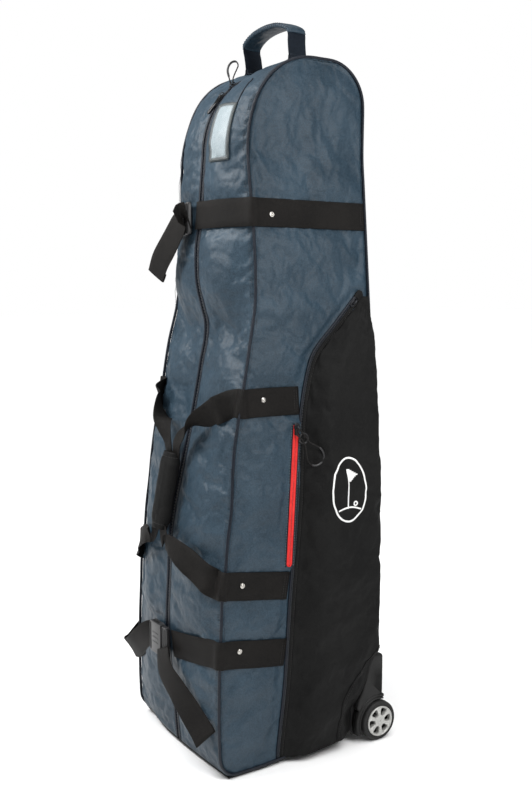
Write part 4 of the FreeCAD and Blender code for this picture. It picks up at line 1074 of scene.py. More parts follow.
def make_pull(name, route, matrix, body, node_name, sleeves):
    """A cord loop through a slider's eye, with rubber sleeves along part of it."""
    world = [matrix @ Vector(p) for p in route]
    path = nurbs_path(world)
    parts = []
    for low, high, radius in sleeves:
        part = stretch_of(path, low, high)
        count = len(part) - 1

        def ring(t, radius=radius, count=count):
            ends = min(t, 1 - t) * count
            grow = radius * (0.72 + 0.28 * smooth(ends, 0, 2.2))
            return ring_of(grow, 12)
        parts.append(sweep(part, ring))
    verts, faces = joined(parts)
    sleeve = piece(name + "_sleeve", verts, faces, RUBBERISED, body)
    cord = nurbs(name + "_cord", world, CORD_RADIUS)
    cord.data.materials.append(CORD)
    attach(cord, body)
    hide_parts(node_name)
    return cord


SLIDER_LIFT = 0.5
UPPER_PLACE = hood_matrix(52.5, SLIDER_LIFT)
LOWER_PLACE = hood_matrix(41.5, SLIDER_LIFT)


def make_main_sliders():
    for word, matrix, route, sleeves in (
            ("upper", UPPER_PLACE, UPPER_PULL, [(0.46, 0.84, 2.0)]),
            ("lower", LOWER_PLACE, LOWER_PULL, [(0.26, 0.74, 2.0)])):
        verts, faces = slider_parts(matrix)
        piece("zip_slider_" + word, verts, faces, SLIDER, word + "_slider",
              ("main_slider_" + word,))
        make_pull("zip_pull_" + word, route, matrix, word + "_pull", "main_pull_" + word, sleeves)


make_main_sliders()


# ================================================================ webbing
def webbing_ring(width, thickness):
    """Webbing's section: flat, with rolled selvedges, its inner face at out 0."""
    half, t = width / 2, thickness
    lower = [(-half + 0.9, 0), (-half / 2, 0.05), (0, 0.05), (half / 2, 0.05), (half - 0.9, 0)]
    upper = [(half - 0.9, t), (half / 2, t - 0.1), (0, t - 0.1), (-half / 2, t - 0.1),
             (-half + 0.9, t)]
    return lower + [(half, 0.2 * t), (half + 0.15, 0.6 * t)] + upper + [(-half - 0.15, 0.6 * t),
                                                                       (-half, 0.2 * t)]


def webbing(points, sides, widths=50.0, thickness=1.9, per=6, wave=0.5, seed=0.0):
    """A strap through points; sides are its width directions, widths one or many."""
    path = spline(points, per)
    turns = [v.normalized() for v in spline(sides, per)]
    if isinstance(widths, (int, float)):
        widths = [widths] * len(points)
    spans = [p.x for p in spline([(w, 0, 0) for w in widths], per)]
    verts, count = [], 0
    for k, (point, side) in enumerate(zip(path, turns)):
        along = (path[min(k + 1, len(path) - 1)] - path[max(k - 1, 0)]).normalized()
        side = (side - along * side.dot(along)).normalized()
        out = side.cross(along).normalized()
        drift = wave * fbm(point + Vector((seed, 0, 0)), 70, 2)
        curl = wave * 1.4 * fbm(point + Vector((seed, 50, 0)), 90, 2)
        ring = webbing_ring(spans[k], thickness)
        count = len(ring)
        for a, b in ring:
            share = a / (spans[k] / 2)
            verts.append(point + side * (a + drift) + out * (b + curl * abs(share) ** 2))
    faces = grid_faces(len(path), count, wrap=True, flip=True)
    faces += [tuple(range(count)), tuple(range(len(verts) - 1, len(verts) - count - 1, -1))]
    return verts, faces


def mirror_x(part):
    verts, faces = part
    return [Vector((-v.x, v.y, v.z)) for v in verts], [face[::-1] for face in faces]


def across_wall(z):
    slope = (half_width(z + 10) - half_width(z - 10)) / 20
    return Vector((slope, 0, 1))


def across_front(x, z):
    return (front_point(x, z + 20) - front_point(x, z - 20)).normalized()


def wrap_points(level, y_start, x_end, lift=2.2, corner=5.2, steps=7, tilt=0.0):
    """A strap's way from the side wall round the front corner and across the front.

    A tilted strap falls towards the back, and from the corner towards the middle.
    """
    half = half_width(level)
    seam = seam_y(level)
    points, sides = [], []
    runs = max(3, int((y_start - seam) / 38))
    for k in range(runs):
        y = lerp(y_start, seam + 14, k / (runs - 1))
        z = level - tilt * (y + 100)
        points.append(Vector((half_width(z) + lift, y, z)))
        sides.append(across_wall(z) + Vector((0, tilt, 0)))
    z = level - tilt * (seam + 100)
    points.append(Vector((half + corner, seam + 1, z)))
    sides.append(across_wall(z))
    points.append(front_point(half - 3, z) + front_normal(half - 3, z) * (corner + 0.6)
                  + Vector((2.5, 0, 0)))
    sides.append(across_front(half - 4, z))
    for k in range(steps):
        x = lerp(half - 16, x_end, k / (steps - 1))
        drop = z - tilt * 0.95 * (half - 6 - x)
        points.append(front_point(x, drop) + front_normal(x, drop) * (lift + 0.5))
        sides.append(across_front(x, drop))
    return points, sides


def strap_thread(points, sides, inset, width=50.0):
    """Two stitch rows across a strap near its sewn start."""
    rows = []
    along = (points[1] - points[0]).normalized()
    out = sides[0].cross(along).normalized()
    for run in inset:
        a = points[0] + along * run - sides[0].normalized() * (width / 2 - 5) + out * 2.0
        b = points[0] + along * run + sides[0].normalized() * (width / 2 - 5) + out * 2.0
        rows.append(stitches([a, b], [out, out], 3.0, 1.4))
    return rows


TILT = 0.15
SLACK = [((175.5, -30, 213), (0, 0.05, 1)), ((176.5, -72, 211), (0, 0.1, 1)),
         ((181, -116, 198), (0, 0.1, 1)), ((184, -158, 168), (-0.1, -0.1, 1)),
         ((174, -193, 142), (-0.1, -0.5, 0.8)), ((140, -200, 152), (0, -0.5, 0.85)),
         ((96, -201, 182), (0.2, -0.4, 0.85)), ((62, -196, 204), (0.1, -0.2, 1)),
         ((46, -190.6, 209), (0, 0, 1))]


def make_straps():
    """Two compression straps; the left half of the lower one hangs slack off the corner."""
    threads = []
    for name, z, y_start, x_right, tilt in (("upper", UPPER_STRAP, 164, -8, 0),
                                            ("lower", LOWER_STRAP, pocket_edge(219) - 9, 24, TILT)):
        points, sides = wrap_points(z, y_start, x_right, tilt=tilt)
        verts, faces = webbing(points, sides, seed=z)
        piece(f"{name}_strap_webbing_right", verts, faces, WEBBING, "case",
              (f"{name}_strap_right",))
        threads += strap_thread(points, sides, (4, 8))
        if tilt:
            points, sides = [Vector(p) for p, _ in SLACK], [Vector(side) for _, side in SLACK]
        else:
            points, sides = wrap_points(z, y_start, 79)
        verts, faces = mirror_x(webbing(points, sides, per=10, seed=z + 40))
        piece(f"{name}_strap_webbing_left", verts, faces, WEBBING, "case",
              (f"{name}_strap_left",))
    verts, faces = joined(threads)
    piece("strap_stitching", verts, faces, DARK_THREAD, "case")


make_straps()


def hemmed_tail(points, sides, widths=50.0):
    """A loose strap end with a folded, stitched hem."""
    band = webbing(points, sides, widths, per=8, wave=1.0)
    path, turns = spline(points, 8), spline(sides, 8)
    last, before = path[-1], path[-4]
    along = (last - before).normalized()
    side = (turns[-1] - along * turns[-1].dot(along)).normalized()
    out = side.cross(along).normalized()
    fold = webbing([last - along * 16 + out * 2.0, last - along * 7 + out * 2.1, last + out * 1.4],
                   [side] * 3, 50.0, 1.8, per=3, wave=0)
    rows = [stitches([last - along * run - side * 21 + out * 4.0,
                      last - along * run + side * 21 + out * 4.0], [out, out], 3.0, 1.4)
            for run in (5, 12)]
    return joined([band, fold]), joined(rows)


UPPER_TAIL = ([(-16, -131, 993), (-28, -136.5, 990), (-42, -142, 967), (-62, -147, 940),
               (-84, -150, 912), (-100, -151, 884)],
              [(0.55, 0.1, 0.75), (0.7, 0.1, 0.35), (0.8, 0.1, -0.45), (0.8, 0.1, -0.6),
               (0.8, 0.1, -0.6), (0.85, 0.1, -0.5)])
LOWER_TAIL = ([(12, -206.5, 200), (18, -209, 186), (34, -212, 165), (72, -208.5, 138),
               (112, -203.5, 109), (152, -196, 76)],
              [(0.75, 0, 0.45), (0.95, 0, 0.3), (0.95, 0.1, 0.4), (0.8, 0.3, 0.55),
               (0.65, 0.48, 0.6), (0.58, 0.52, 0.6)])


def make_tails():
    for name, (points, sides) in (("upper", UPPER_TAIL), ("lower", LOWER_TAIL)):
        points, sides = [Vector(p) for p in points], [Vector(s) for s in sides]
        (verts, faces), (more_verts, more_faces) = hemmed_tail(points, sides)
        piece(f"{name}_tail_webbing", verts, faces, WEBBING, name + "_plug",
              (f"{name}_strap_tail",))
        piece(f"{name}_tail_stitching", more_verts, more_faces, DARK_THREAD, name + "_plug")


make_tails()


# ================================================================ carry handles and grip
CARRY_UPPER_RUN = [((116, -144, 652), (0.25, 0, 1), 50), ((98, -149, 642), (0.5, 0, 0.85), 46),
                   ((70, -161, 627), (0.75, 0, 0.65), 40), ((44, -170, 609), (0.92, 0, 0.4), 33),
                   ((20, -176, 585), (1, 0, 0.1), 27), ((12, -176, 556), (1, 0, 0), 24)]
CARRY_LOWER_RUN = [((140, -184, 362), (-0.2, 0, 0.95), 50),
                   ((106, -195, 381), (-0.5, 0, 0.85), 47), ((76, -203, 394), (-0.65, 0, 0.75), 42),
                   ((48, -206, 404), (-0.85, 0, 0.5), 34), ((24, -206, 408), (-1, 0, 0.2), 27),
                   ((12, -204, 428), (-1, 0, 0), 24)]
GRIP_TOP, GRIP_LOW = Vector((0, -176, 563)), Vector((0, -203.5, 424))


def make_carry_webbing():
    spans = (("upper", UPPER_CARRY, pocket_edge(663) - 13, CARRY_UPPER_RUN, 0),
             ("lower", LOWER_CARRY, pocket_edge(342) - 12, CARRY_LOWER_RUN, TILT))
    threads = []
    for name, z, y_start, run, tilt in spans:
        points, sides = wrap_points(z, y_start, half_width(z) - 16, steps=2, tilt=tilt)
        points, sides = points[:-1], sides[:-1]
        widths = [50.0] * len(points)
        for point, side, width in run:
            points.append(Vector(point))
            turn = Vector(side)
            sides.append(turn)
            widths.append(width)
        right = webbing(points, sides, widths, per=8, wave=0.8, seed=z)
        for word, part, sign in (("right", right, 1), ("left", mirror_x(right), -1)):
            replaced = (f"carry_webbing_{word}",) if name == "upper" else ()
            obj = piece(f"carry_{name}_webbing_{word}", part[0], part[1], WEBBING, None,
                        replaced)
            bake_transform(obj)
        rows = strap_thread(points, sides, (5, 10))
        threads += rows + [mirror_x(row) for row in rows]
    verts, faces = joined(threads)
    piece("carry_stitching", verts, faces, DARK_THREAD, "case")


def make_grip():
    """Padded wrap closed round the gathered webbing, with bound ends and an overlap."""
    along = (GRIP_LOW - GRIP_TOP).normalized()
    side = Vector((1, 0, 0))
    out = side.cross(along).normalized()
    length, rows, columns = (GRIP_LOW - GRIP_TOP).length, 46, 40
    verts = []
    for i in range(rows + 1):
        t = i / rows
        centre = GRIP_TOP + along * (length * t)
        pinch = 0.80 + 0.20 * smooth(min(t, 1 - t), 0, 0.16)
        band = 1 - 0.05 * bump_at(t, 0.055, 0.02) - 0.05 * bump_at(t, 0.945, 0.02)
        for j in range(columns):
            turn = 2 * math.pi * j / columns
            c, s = math.cos(turn), math.sin(turn)
            square = (abs(c) ** 2.6 + abs(s) ** 2.6) ** (-1 / 2.6)
            spot = centre + side * c * 21 + out * s * 13
            dents = 0.8 * fbm(spot, 38, 2) - 0.7 * crease(spot, 40, 2.0)
            groove = 1.3 * bump_at(turn, math.radians(300), 0.13)
            radius_x = (24.5 * pinch * band) + dents - groove
            radius_y = (14.2 * pinch * band) + dents - groove
            verts.append(centre + side * (radius_x * square * c) + out * (radius_y * square * s))
    faces = grid_faces(rows + 1, columns, wrap=True, flip=True)
    for i, centre in ((0, GRIP_TOP + along * 2.5), (rows, GRIP_LOW - along * 2.5)):
        verts.append(centre)
        hub = len(verts) - 1
        ring = [i * columns + j for j in range(columns)]
        pairs = zip(ring, ring[1:] + ring[:1])
        faces += [(a, b, hub) if i == 0 else (b, a, hub) for a, b in pairs]
    grip = piece("carry_grip_wrap", verts, faces, BLACK_CLOTH, "carry_grip",
                 ("carry_grip",))
    rings = []
    for t in (0.055, 0.945):
        ring = [Vector(verts[int(round(t * rows)) * columns + j]) for j in range(columns)]
        outs = [(p - (GRIP_TOP + along * (length * t))).normalized() for p in ring]
        rings.append(stitches(ring + ring[:1], outs + outs[:1], 2.8, 1.4, 0.36, 0.25))
    verts, faces = joined(rings)
    piece("carry_grip_stitching", verts, faces, DARK_THREAD, "carry_grip")


make_carry_webbing()
make_grip()


def make_rivets():
    """Domed rivets with a rolled rim on each strap's side run."""
    parts = []
    for y, z in ((-41, UPPER_STRAP - 3), (-77, UPPER_CARRY + 5), (-130, LOWER_CARRY + 6),
                 (-136, LOWER_STRAP + 12)):
        slope = (half_width(z + 10) - half_width(z - 10)) / 20
        out = Vector((1, 0, -slope)).normalized()
        foot = Vector((half_width(z) + 4.0, y, z))
        place = frame_matrix(foot, Vector((0, 1, 0)), out.cross(Vector((0, 1, 0))), out)
        profile = [(0.01, -0.4), (4.6, -0.4), (4.9, 0.1), (4.5, 0.7), (3.6, 0.8), (3.3, 0.65),
                   (2.6, 1.5), (1.4, 2.0), (0.01, 2.1)]
        dome = lathe(profile, 20, place)
        parts += [dome, mirror_x(dome)]
    verts, faces = joined(parts)
    piece("rivet_caps", verts, faces, CHROME, "case", ("rivets",))


make_rivets()


# ================================================================ side-release buckles
def buckle_matrix(mouth, slope):
    bend = math.radians(slope)
    along = Vector((math.cos(bend), -math.sin(bend), 0))
    out = Vector((-math.sin(bend), -math.cos(bend), 0))
    return frame_matrix(mouth, along, Vector((0, 0, 1)), out)


def raised(matrix, height):
    return matrix @ Matrix.Translation((0, 0, height))


def make_buckle(name, mouth, slope):
    place = buckle_matrix(mouth, slope)
    full = rounded([(0, -28.5), (0, 28.5), (-6, 30), (-40, 30), (-44, 26), (-44, -26), (-40, -30),
                    (-6, -30)], 4, 4)
    slot = rectangle(-41.6, -37.6, -26, 26, 1.6)
    middle = rounded([(-34.5, -24), (-34.5, 24), (-41, 29.5), (-44, 26), (-44, -26), (-41, -29.5)],
                     2, 3)
    arch = rounded([(-1, 22), (-1, 29), (-6, 29.6), (-15, 29.6), (-17, 26), (-15, 22.6)], 1.6, 3)
    parts = [plate([full, slot], 3.0, 0.9, place), plate([full, slot], 3.0, 0.9, raised(place, 9)),
             plate([middle, slot], 6.4, 0.3, raised(place, 2.8)),
             plate([arch], 6.4, 0.3, raised(place, 2.8)),
             plate([[(x, -y) for x, y in arch][::-1]], 6.4, 0.3, raised(place, 2.8))]
    parts += [plate([rectangle(-33, -9, v - 1, v + 1, 0.9)], 1.0, 0.4, raised(place, 11.6))
              for v in (-9, 0, 9)]
    verts, faces = joined(parts)
    piece(name + "_socket_shell", verts, faces, BUCKLE, "case",
          (name + "_buckle_socket",))
    frame_outline = rounded([(0.8, -29), (20, -29.5), (20, 29.5), (0.8, 29)], 4, 4)
    slots = [rectangle(4.6, 8.4, -26, 26, 1.4), rectangle(12.6, 16.4, -26, 26, 1.4)]
    stem = rounded([(1.5, -6), (1.5, 6), (-21, 5), (-24, 2.5), (-24, -2.5), (-21, -5)], 1.2, 3)
    parts = [plate([frame_outline] + slots, 8.4, 1.5, raised(place, 1.3)),
             plate([stem], 5.0, 0.8, raised(place, 3.5))]
    verts, faces = joined(parts)
    piece(name + "_plug_frame", verts, faces, BUCKLE, name + "_plug",
          (name + "_buckle_plug",))
    for word, sign in (("upper", 1), ("lower", -1)):
        prong = rounded([(-0.3, 14.5), (-0.3, 21.5), (-16, 22), (-18, 24.6), (-22, 28.6),
                         (-28, 27.4), (-30, 22), (-29, 17), (-24, 16.5), (-8, 15.5)], 1.4, 3)
        prong = [(x, y * sign) for x, y in prong]
        verts, faces = plate([prong if sign > 0 else prong[::-1]], 4.6, 0.8, raised(place, 3.7))
        body = f"{name}_prong_{'top' if sign > 0 else 'bottom'}"
        piece(f"{name}_prong_arm_{word}", verts, faces, BUCKLE, body,
              (f"{name}_prong_{word}",))


make_buckle("upper", (-34, -117.5, 988), 13)
make_buckle("lower", (0, -192.5, 209), 0)


# ================================================================ top handle
HANDLE_PATH = [(72.6, 1269), (71.8, 1286), (72.6, 1303), (74.2, 1314), (71.5, 1321),
               (63, 1326.5), (42, 1333.5), (14, 1337)]
WRAP_PATH = [(76.4, 1316.5), (73.4, 1322.6), (64, 1328.4), (42, 1335.4), (14, 1338.8)]


def handle_y(z):
    """The handle leans forward a little towards its top."""
    return lerp(50, 41, clamp((z - CREST_Z) / 76))


def make_top_handle():
    points = [Vector((x, handle_y(z), z)) for x, z in HANDLE_PATH]
    sides = [Vector((0, 1, 0))] * len(points)
    right = webbing(points, sides, 38.0, 2.4, per=6, wave=0.4)
    for word, part, sign in (("right", right, 1), ("left", mirror_x(right), -1)):
        obj = piece("top_handle_leg_" + word, part[0], part[1], NAVY_WEBBING, None,
                    ("top_handle_webbing",) if sign > 0 else ())
        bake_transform(obj)
    y = handle_y(CREST_Z)
    foot = [Vector((x, y, z)) for x, z in ((92, 1268.4), (84, 1268.9), (77.4, 1271), (75.6, 1280))]
    foot = webbing(foot, [Vector((0, 1, 0))] * 4, 38.6, 2.0, per=4, wave=0.1)
    inner = [Vector((x, y, z)) for x, z in ((56, 1268.4), (64, 1268.9), (69.6, 1271), (71, 1279))]
    inner = webbing(inner, [Vector((0, -1, 0))] * 4, 38.6, 2.0, per=4, wave=0.1)
    rows = []
    for x in (88, 84, 60, 64):
        ends = [Vector((x, y - 17, 1270.8)), Vector((x, y + 17, 1270.8))]
        rows.append(stitches(ends, [Vector((0, 0, 1))] * 2, 2.8, 1.2, 0.36, 0.25))
    verts, faces = joined([foot, inner, mirror_x(foot), mirror_x(inner)])
    piece("top_handle_anchors", verts, faces, NAVY_WEBBING, "case",
          ("top_handle_feet",))
    verts, faces = joined(rows + [mirror_x(row) for row in rows])
    piece("top_handle_anchor_stitching", verts, faces, THREAD, "case")
    make_handle_wrap()


def make_handle_wrap():
    """Padded sleeve folded round the handle, whip-stitched along its front edge."""
    right = [(x, handle_y(z), z) for x, z in WRAP_PATH]
    path = evenly(spline(right + [(-x, y, z) for x, y, z in right[::-1]], 8), 3.2)
    count, columns, verts, rings = len(path), 36, [], []
    for k, point in enumerate(path):
        t = k / (count - 1)
        along = (path[min(k + 1, count - 1)] - path[max(k - 1, 0)]).normalized()
        side = Vector((0, 1, 0))
        out = side.cross(along).normalized()
        ends = smooth(min(t, 1 - t) * (count - 1), 0, 3.5)
        half, thick = 19.6 + 1.2 * ends, 2.7 + 1.9 * ends
        crown = 0.9 * math.sin(math.pi * t)
        ring = []
        for j in range(columns):
            turn = 2 * math.pi * j / columns
            c, s = math.cos(turn), math.sin(turn)
            round_off = (abs(c) ** 3 + abs(s) ** 3) ** (-1 / 3)
            spot = point + side * c * 20 + out * s * 5
            soft = 0.45 * fbm(spot, 26, 2) - 0.3 * crease(spot, 30)
            ring.append(point + side * (half * round_off * c + soft)
                        + out * ((thick + crown) * round_off * s + soft))
        rings.append(ring)
        verts += ring
    faces = grid_faces(count, columns, wrap=True, flip=True)
    for row in (0, count - 1):
        verts.append(path[row] + (path[1] - path[0]).normalized() * (1.2 if row == 0 else 0)
                     - (path[-1] - path[-2]).normalized() * (1.2 if row else 0))
        ring = [row * columns + j for j in range(columns)]
        faces += [(a, b, len(verts) - 1) if row == 0 else (b, a, len(verts) - 1)
                  for a, b in zip(ring, ring[1:] + ring[:1])]
    wrap = piece("top_handle_sleeve", verts, faces, NAVY, "top_handle",
                 ("top_handle_wrap",))
    whip = []
    for k in range(3, count - 3, 2):
        ring, centre = rings[k], path[k]
        arc = [ring[j % columns] + (ring[j % columns] - centre).normalized() * 0.35
               for j in (13, 14, 15, 16, 17, 18, 19, 20)]
        whip.append(sweep(arc, ring_of(0.62, 6)))
    for k in (2, count - 3):
        ring = rings[k] + rings[k][:1]
        outs = [(p - path[k]).normalized() for p in ring]
        whip.append(stitches(ring, outs, 2.8, 1.4, 0.4, 0.3))
    verts, faces = joined(whip)
    piece("top_handle_whipping", verts, faces, THREAD, "top_handle")


make_top_handle()


# ================================================================ address window
WINDOW = (27.0, 79.0, 1083.0, HOOD_Z + 31 / 90 * HOOD_ARC)


def window_point(u, v, lift):
    x = lerp(WINDOW[0], WINDOW[1], u)
    s = lerp(WINDOW[2], WINDOW[3], v)
    place = lay_front(x, s, 0)
    base = on_front(x, s, 0.3)
    out = front_normal(x, s)
    return (place if (place - base).dot(out) > 0 else base) + out * lift


def window_sheet(name, u_edge, v_edge, lift, thickness, material, node_name, sag):
    grid = []
    for i in range(31):
        line = []
        for j in range(13):
            u, v = lerp(u_edge, 1 - u_edge, j / 12), lerp(v_edge, 1 - v_edge, i / 30)
            ripple = sag * fbm((u * 60, v * 110, lift * 9), 34, 2) * smooth(
                min(u, 1 - u, v * 2, 2 - v * 2), 0, 0.2)
            line.append(window_point(u, v, lift + ripple))
        grid.append(line)
    verts, faces = shell_from_grid(grid, thickness)
    return piece(name, verts, faces, material, "case", (node_name,))


def make_window():
    window_sheet("address_card", 0.13, 0.055, 1.3, 0.5, CARD, "id_card", 0.25)
    window_sheet("address_film", 0.07, 0.03, 2.5, 0.35, FILM, "id_window", 0.5)
    loop = []
    for u0, v0, u1, v1, count in ((0, 0, 1, 0, 8), (1, 0, 1, 1, 20), (1, 1, 0, 1, 8),
                                  (0, 1, 0, 0, 20)):
        for k in range(count):
            t = k / count
            u, v = lerp(u0, u1, t), lerp(v0, v1, t)
            loop.append((lerp(0.055, 0.945, u), lerp(0.025, 0.975, v)))
    path = [window_point(u, v, 1.2) for u, v in loop]
    frames = []
    for k, (u, v) in enumerate(loop):
        before, after = path[k - 1], path[(k + 1) % len(path)]
        along = (after - before).normalized()
        out = front_normal(lerp(WINDOW[0], WINDOW[1], u), lerp(WINDOW[2], WINDOW[3], v))
        out = (out - along * out.dot(along)).normalized()
        frames.append((along.cross(out), out))
    ring = [(-2.9, -0.9), (-3.1, 0.6), (-2.2, 1.5), (0, 1.9), (2.0, 1.7), (2.9, 0.9), (2.8, -0.4)]
    verts, faces = sweep(path, ring[::-1], frames, closed=True)
    piece("address_binding", verts, faces, WINDOW_BINDING, "case",
          ("id_window_frame",))
    lifted = [p + f[1] * 1.9 + f[0] * 1.2 for p, f in zip(path, frames)]
    verts, faces = stitches(lifted + lifted[:1], [f[1] for f in frames] + [frames[0][1]], 2.6, 1.3)
    piece("address_stitching", verts, faces, THREAD, "case")
    # The binding's outer edge runs on up the hood as a fold.
    line = [WINDOW[3] + k * 4 for k in range(-1, 15)]
    fold = [lay_front(WINDOW[1] - 2.5, s, 0.5) for s in line]
    verts, faces = sweep(fold, ring_of(1.1, 8))
    piece("hood_fold", verts, faces, PIPING, "case")


make_window()


# ================================================================ side pockets
POCKET_BULGE = 26.0
GUARD_EDGE = [(10, 112), (40, 111), (62, 113), (84, 119), (103, 128), (125, 137), (150, 144),
              (166, 151), (174, 166)]
ZIP_HALF = 6.5


def pocket_slant(z):
    for (low_y, low), (high_y, high) in zip(POCKET_EDGE, POCKET_EDGE[1:]):
        if z <= high:
            return math.hypot(high_y - low_y, high - low) / (high - low)
    return 1.0


def pocket_end(z):
    for (low, low_y), (high, high_y) in zip(GUARD_EDGE, GUARD_EDGE[1:]):
        if z <= high:
            return low_y + (high_y - low_y) * max(0, z - low) / (high - low) - 1
    return BACK_Y - 0.6


POCKET_ROWS, POCKET_COLUMNS = 104, 40


def pocket_grid(side):
    grid = []
    for i in range(POCKET_ROWS + 1):
        nominal = lerp(2, 846, i / POCKET_ROWS)
        line = []
        slant = lerp(pocket_slant(nominal - 22), pocket_slant(nominal + 22), 0.5)
        start = pocket_edge(nominal) + (ZIP_HALF - 0.3) * slant
        end = pocket_end(nominal)
        length = end - start
        for j in range(POCKET_COLUMNS + 1):
            y = lerp(start, end, j / POCKET_COLUMNS)
            z = nominal + base_height(y) * (1 - nominal / 150) if nominal < 150 else nominal
            rise = smooth(clamp((y - start) / min(52, 0.45 * length)) ** 0.8)
            fall = math.sqrt(1 - (1 - clamp((end - y) / min(9, 0.22 * length))) ** 2)
            foot = lerp(2.5, 19, smooth(z, 55, 105)) / POCKET_BULGE
            near_guard = lerp(foot, 1, smooth(clamp((end - y) / 36)))
            fall = lerp(near_guard, fall, smooth(z, 166, 178))
            bulge = POCKET_BULGE * min(1.0, length / 90)
            x = half_width(z) + 0.8 + bulge * rise * fall * (0.8 + 0.2 * smooth(nominal, 0, 90))
            x -= 2.2 * bump_at(y - start, 0, 5)
            line.append(Vector((x * side, y, z)))
        grid.append(line)
    return grid


def pocket_pinned(i, j, p):
    return i in (0, POCKET_ROWS) or j in (0, POCKET_COLUMNS) or (p.z < 186 and
                                                                 j > POCKET_COLUMNS - 4)


POCKETS = {}


def make_pockets():
    for side, word in ((1, "right"), (-1, "left")):
        grid = crumpled(pocket_grid(side), pocket_pinned, 0.012, 6, bend=0.5, seed=side * 50)
        grid = refined(grid, creased(1.2))
        verts, faces = shell_from_grid(grid, 2.2, side < 0)
        POCKETS[word] = piece("side_pocket_cloth_" + word, verts, faces, BLACK_CLOTH, "case",
                              ("side_pocket_" + word,))


make_pockets()
POCKET_SKIN = Surface(*POCKETS.values())


def lay_pocket(y, z, lift, side=1):
    place, normal = POCKET_SKIN.hit((side * 260, y, z), (-side, 0, 0), 160)
    if place is None:
        return Vector((side * (half_width(z) + lift), y, z)), Vector((side, 0, 0))
    normal = normal if normal.x * side > 0 else -normal
    return place + normal * lift, normal


def draped(line, width, height=0.5, closed=False, side=1):
    """A flat strip of thick print or tape lying on a pocket along (y, z) points."""
    spots = [lay_pocket(y, z, 0.05, side) for y, z in line]
    path, frames = [p for p, _ in spots], []
    for k, (_, normal) in enumerate(spots):
        before = path[k - 1] if closed or k else path[k]
        after = path[(k + 1) % len(path)] if closed or k + 1 < len(path) else path[k]
        along = (after - before).normalized()
        out = (normal - along * normal.dot(along)).normalized()
        frames.append((along.cross(out), out))
    half = width / 2
    ring = [(-half, -0.3), (-half, height * 0.7), (-half + 0.3, height), (half - 0.3, height),
            (half, height * 0.7), (half, -0.3)]
    return sweep(path, ring[::-1], frames, closed=closed)


PATCH_SEAM = [(66, 22), (68, 45), (70, 70), (74, 96), (82, 106), (91, 114), (102, 128),
              (114, 143), (127, 157), (140, 170), (153, 181), (164, 189)]


def make_patch_seams():
    parts, threads = [], []
    for side in (1, -1):
        line = [(p.x, p.y) for p in spline([(y, z, 0) for y, z in PATCH_SEAM], 5)]
        parts.append(draped(line, 2.6, 1.3, side=side))
        spots = [lay_pocket(y + 4.5, z - 2.5, 0.1, side) for y, z in line]
        threads.append(stitches([p for p, _ in spots], [n for _, n in spots]))
    verts, faces = joined(parts)
    piece("patch_seams", verts, faces, BLACK_CLOTH, "case")
    verts, faces = joined(threads)
    piece("patch_stitching", verts, faces, DARK_THREAD, "case")


make_patch_seams()


def make_emblem():
    """A plain oval badge with a flag on a green."""
    middle_y, middle_z, half_y, half_z = 82.0, 498.0, 37.0, 58.0
    oval = [(middle_y + half_y * math.cos(a), middle_z + half_z * math.sin(a))
            for a in (2 * math.pi * k / 96 for k in range(96))]
    parts = [draped(oval, 3.4, closed=True)]
    foot, top = middle_z - 34, middle_z + 38
    pole = middle_y - 4
    parts.append(draped([(pole, lerp(foot, top, k / 14)) for k in range(15)], 2.4))
    for k in range(9):
        z = top - 1.6 - k * 2.4
        reach = 22 * (1 - abs(k - 4) / 5.2)
        parts.append(draped([(pole + 1.2 + reach * t / 5, z) for t in range(6)], 2.6, 0.48))
    green = [(middle_y - 24 + 48 * k / 16, foot - 3 + 5.5 * math.sin(math.pi * k / 16))
             for k in range(17)]
    parts.append(draped(green, 3.0))
    ball = [(middle_y + 12 + 3.6 * math.cos(a), foot + 8.5 + 3.6 * math.sin(a))
            for a in (2 * math.pi * k / 20 for k in range(20))]
    parts.append(draped(ball, 2.6, closed=True))
    verts, faces = joined(parts)
    piece("pocket_emblem", verts, faces, EMBLEM, "case")


make_emblem()


# ================================================================ pocket zips
def wall_frame(along, side):
    """Side and out directions of a band that lies on a side wall."""
    out = Vector((side, 0, 0))
    out = (out - along * out.dot(along)).normalized()
    return along.cross(out), out


def pocket_zip_line(side, gap=6.0):
    edge = [(-50.5, 12), (-50, 26)] + POCKET_EDGE[1:-1] + [(94, 798), (146, 850)]
    path = spline([(0, y, z) for y, z in edge], 12)
    return [Vector((side * half_width(p.z), p.y, p.z)) for p in evenly(path, gap)]


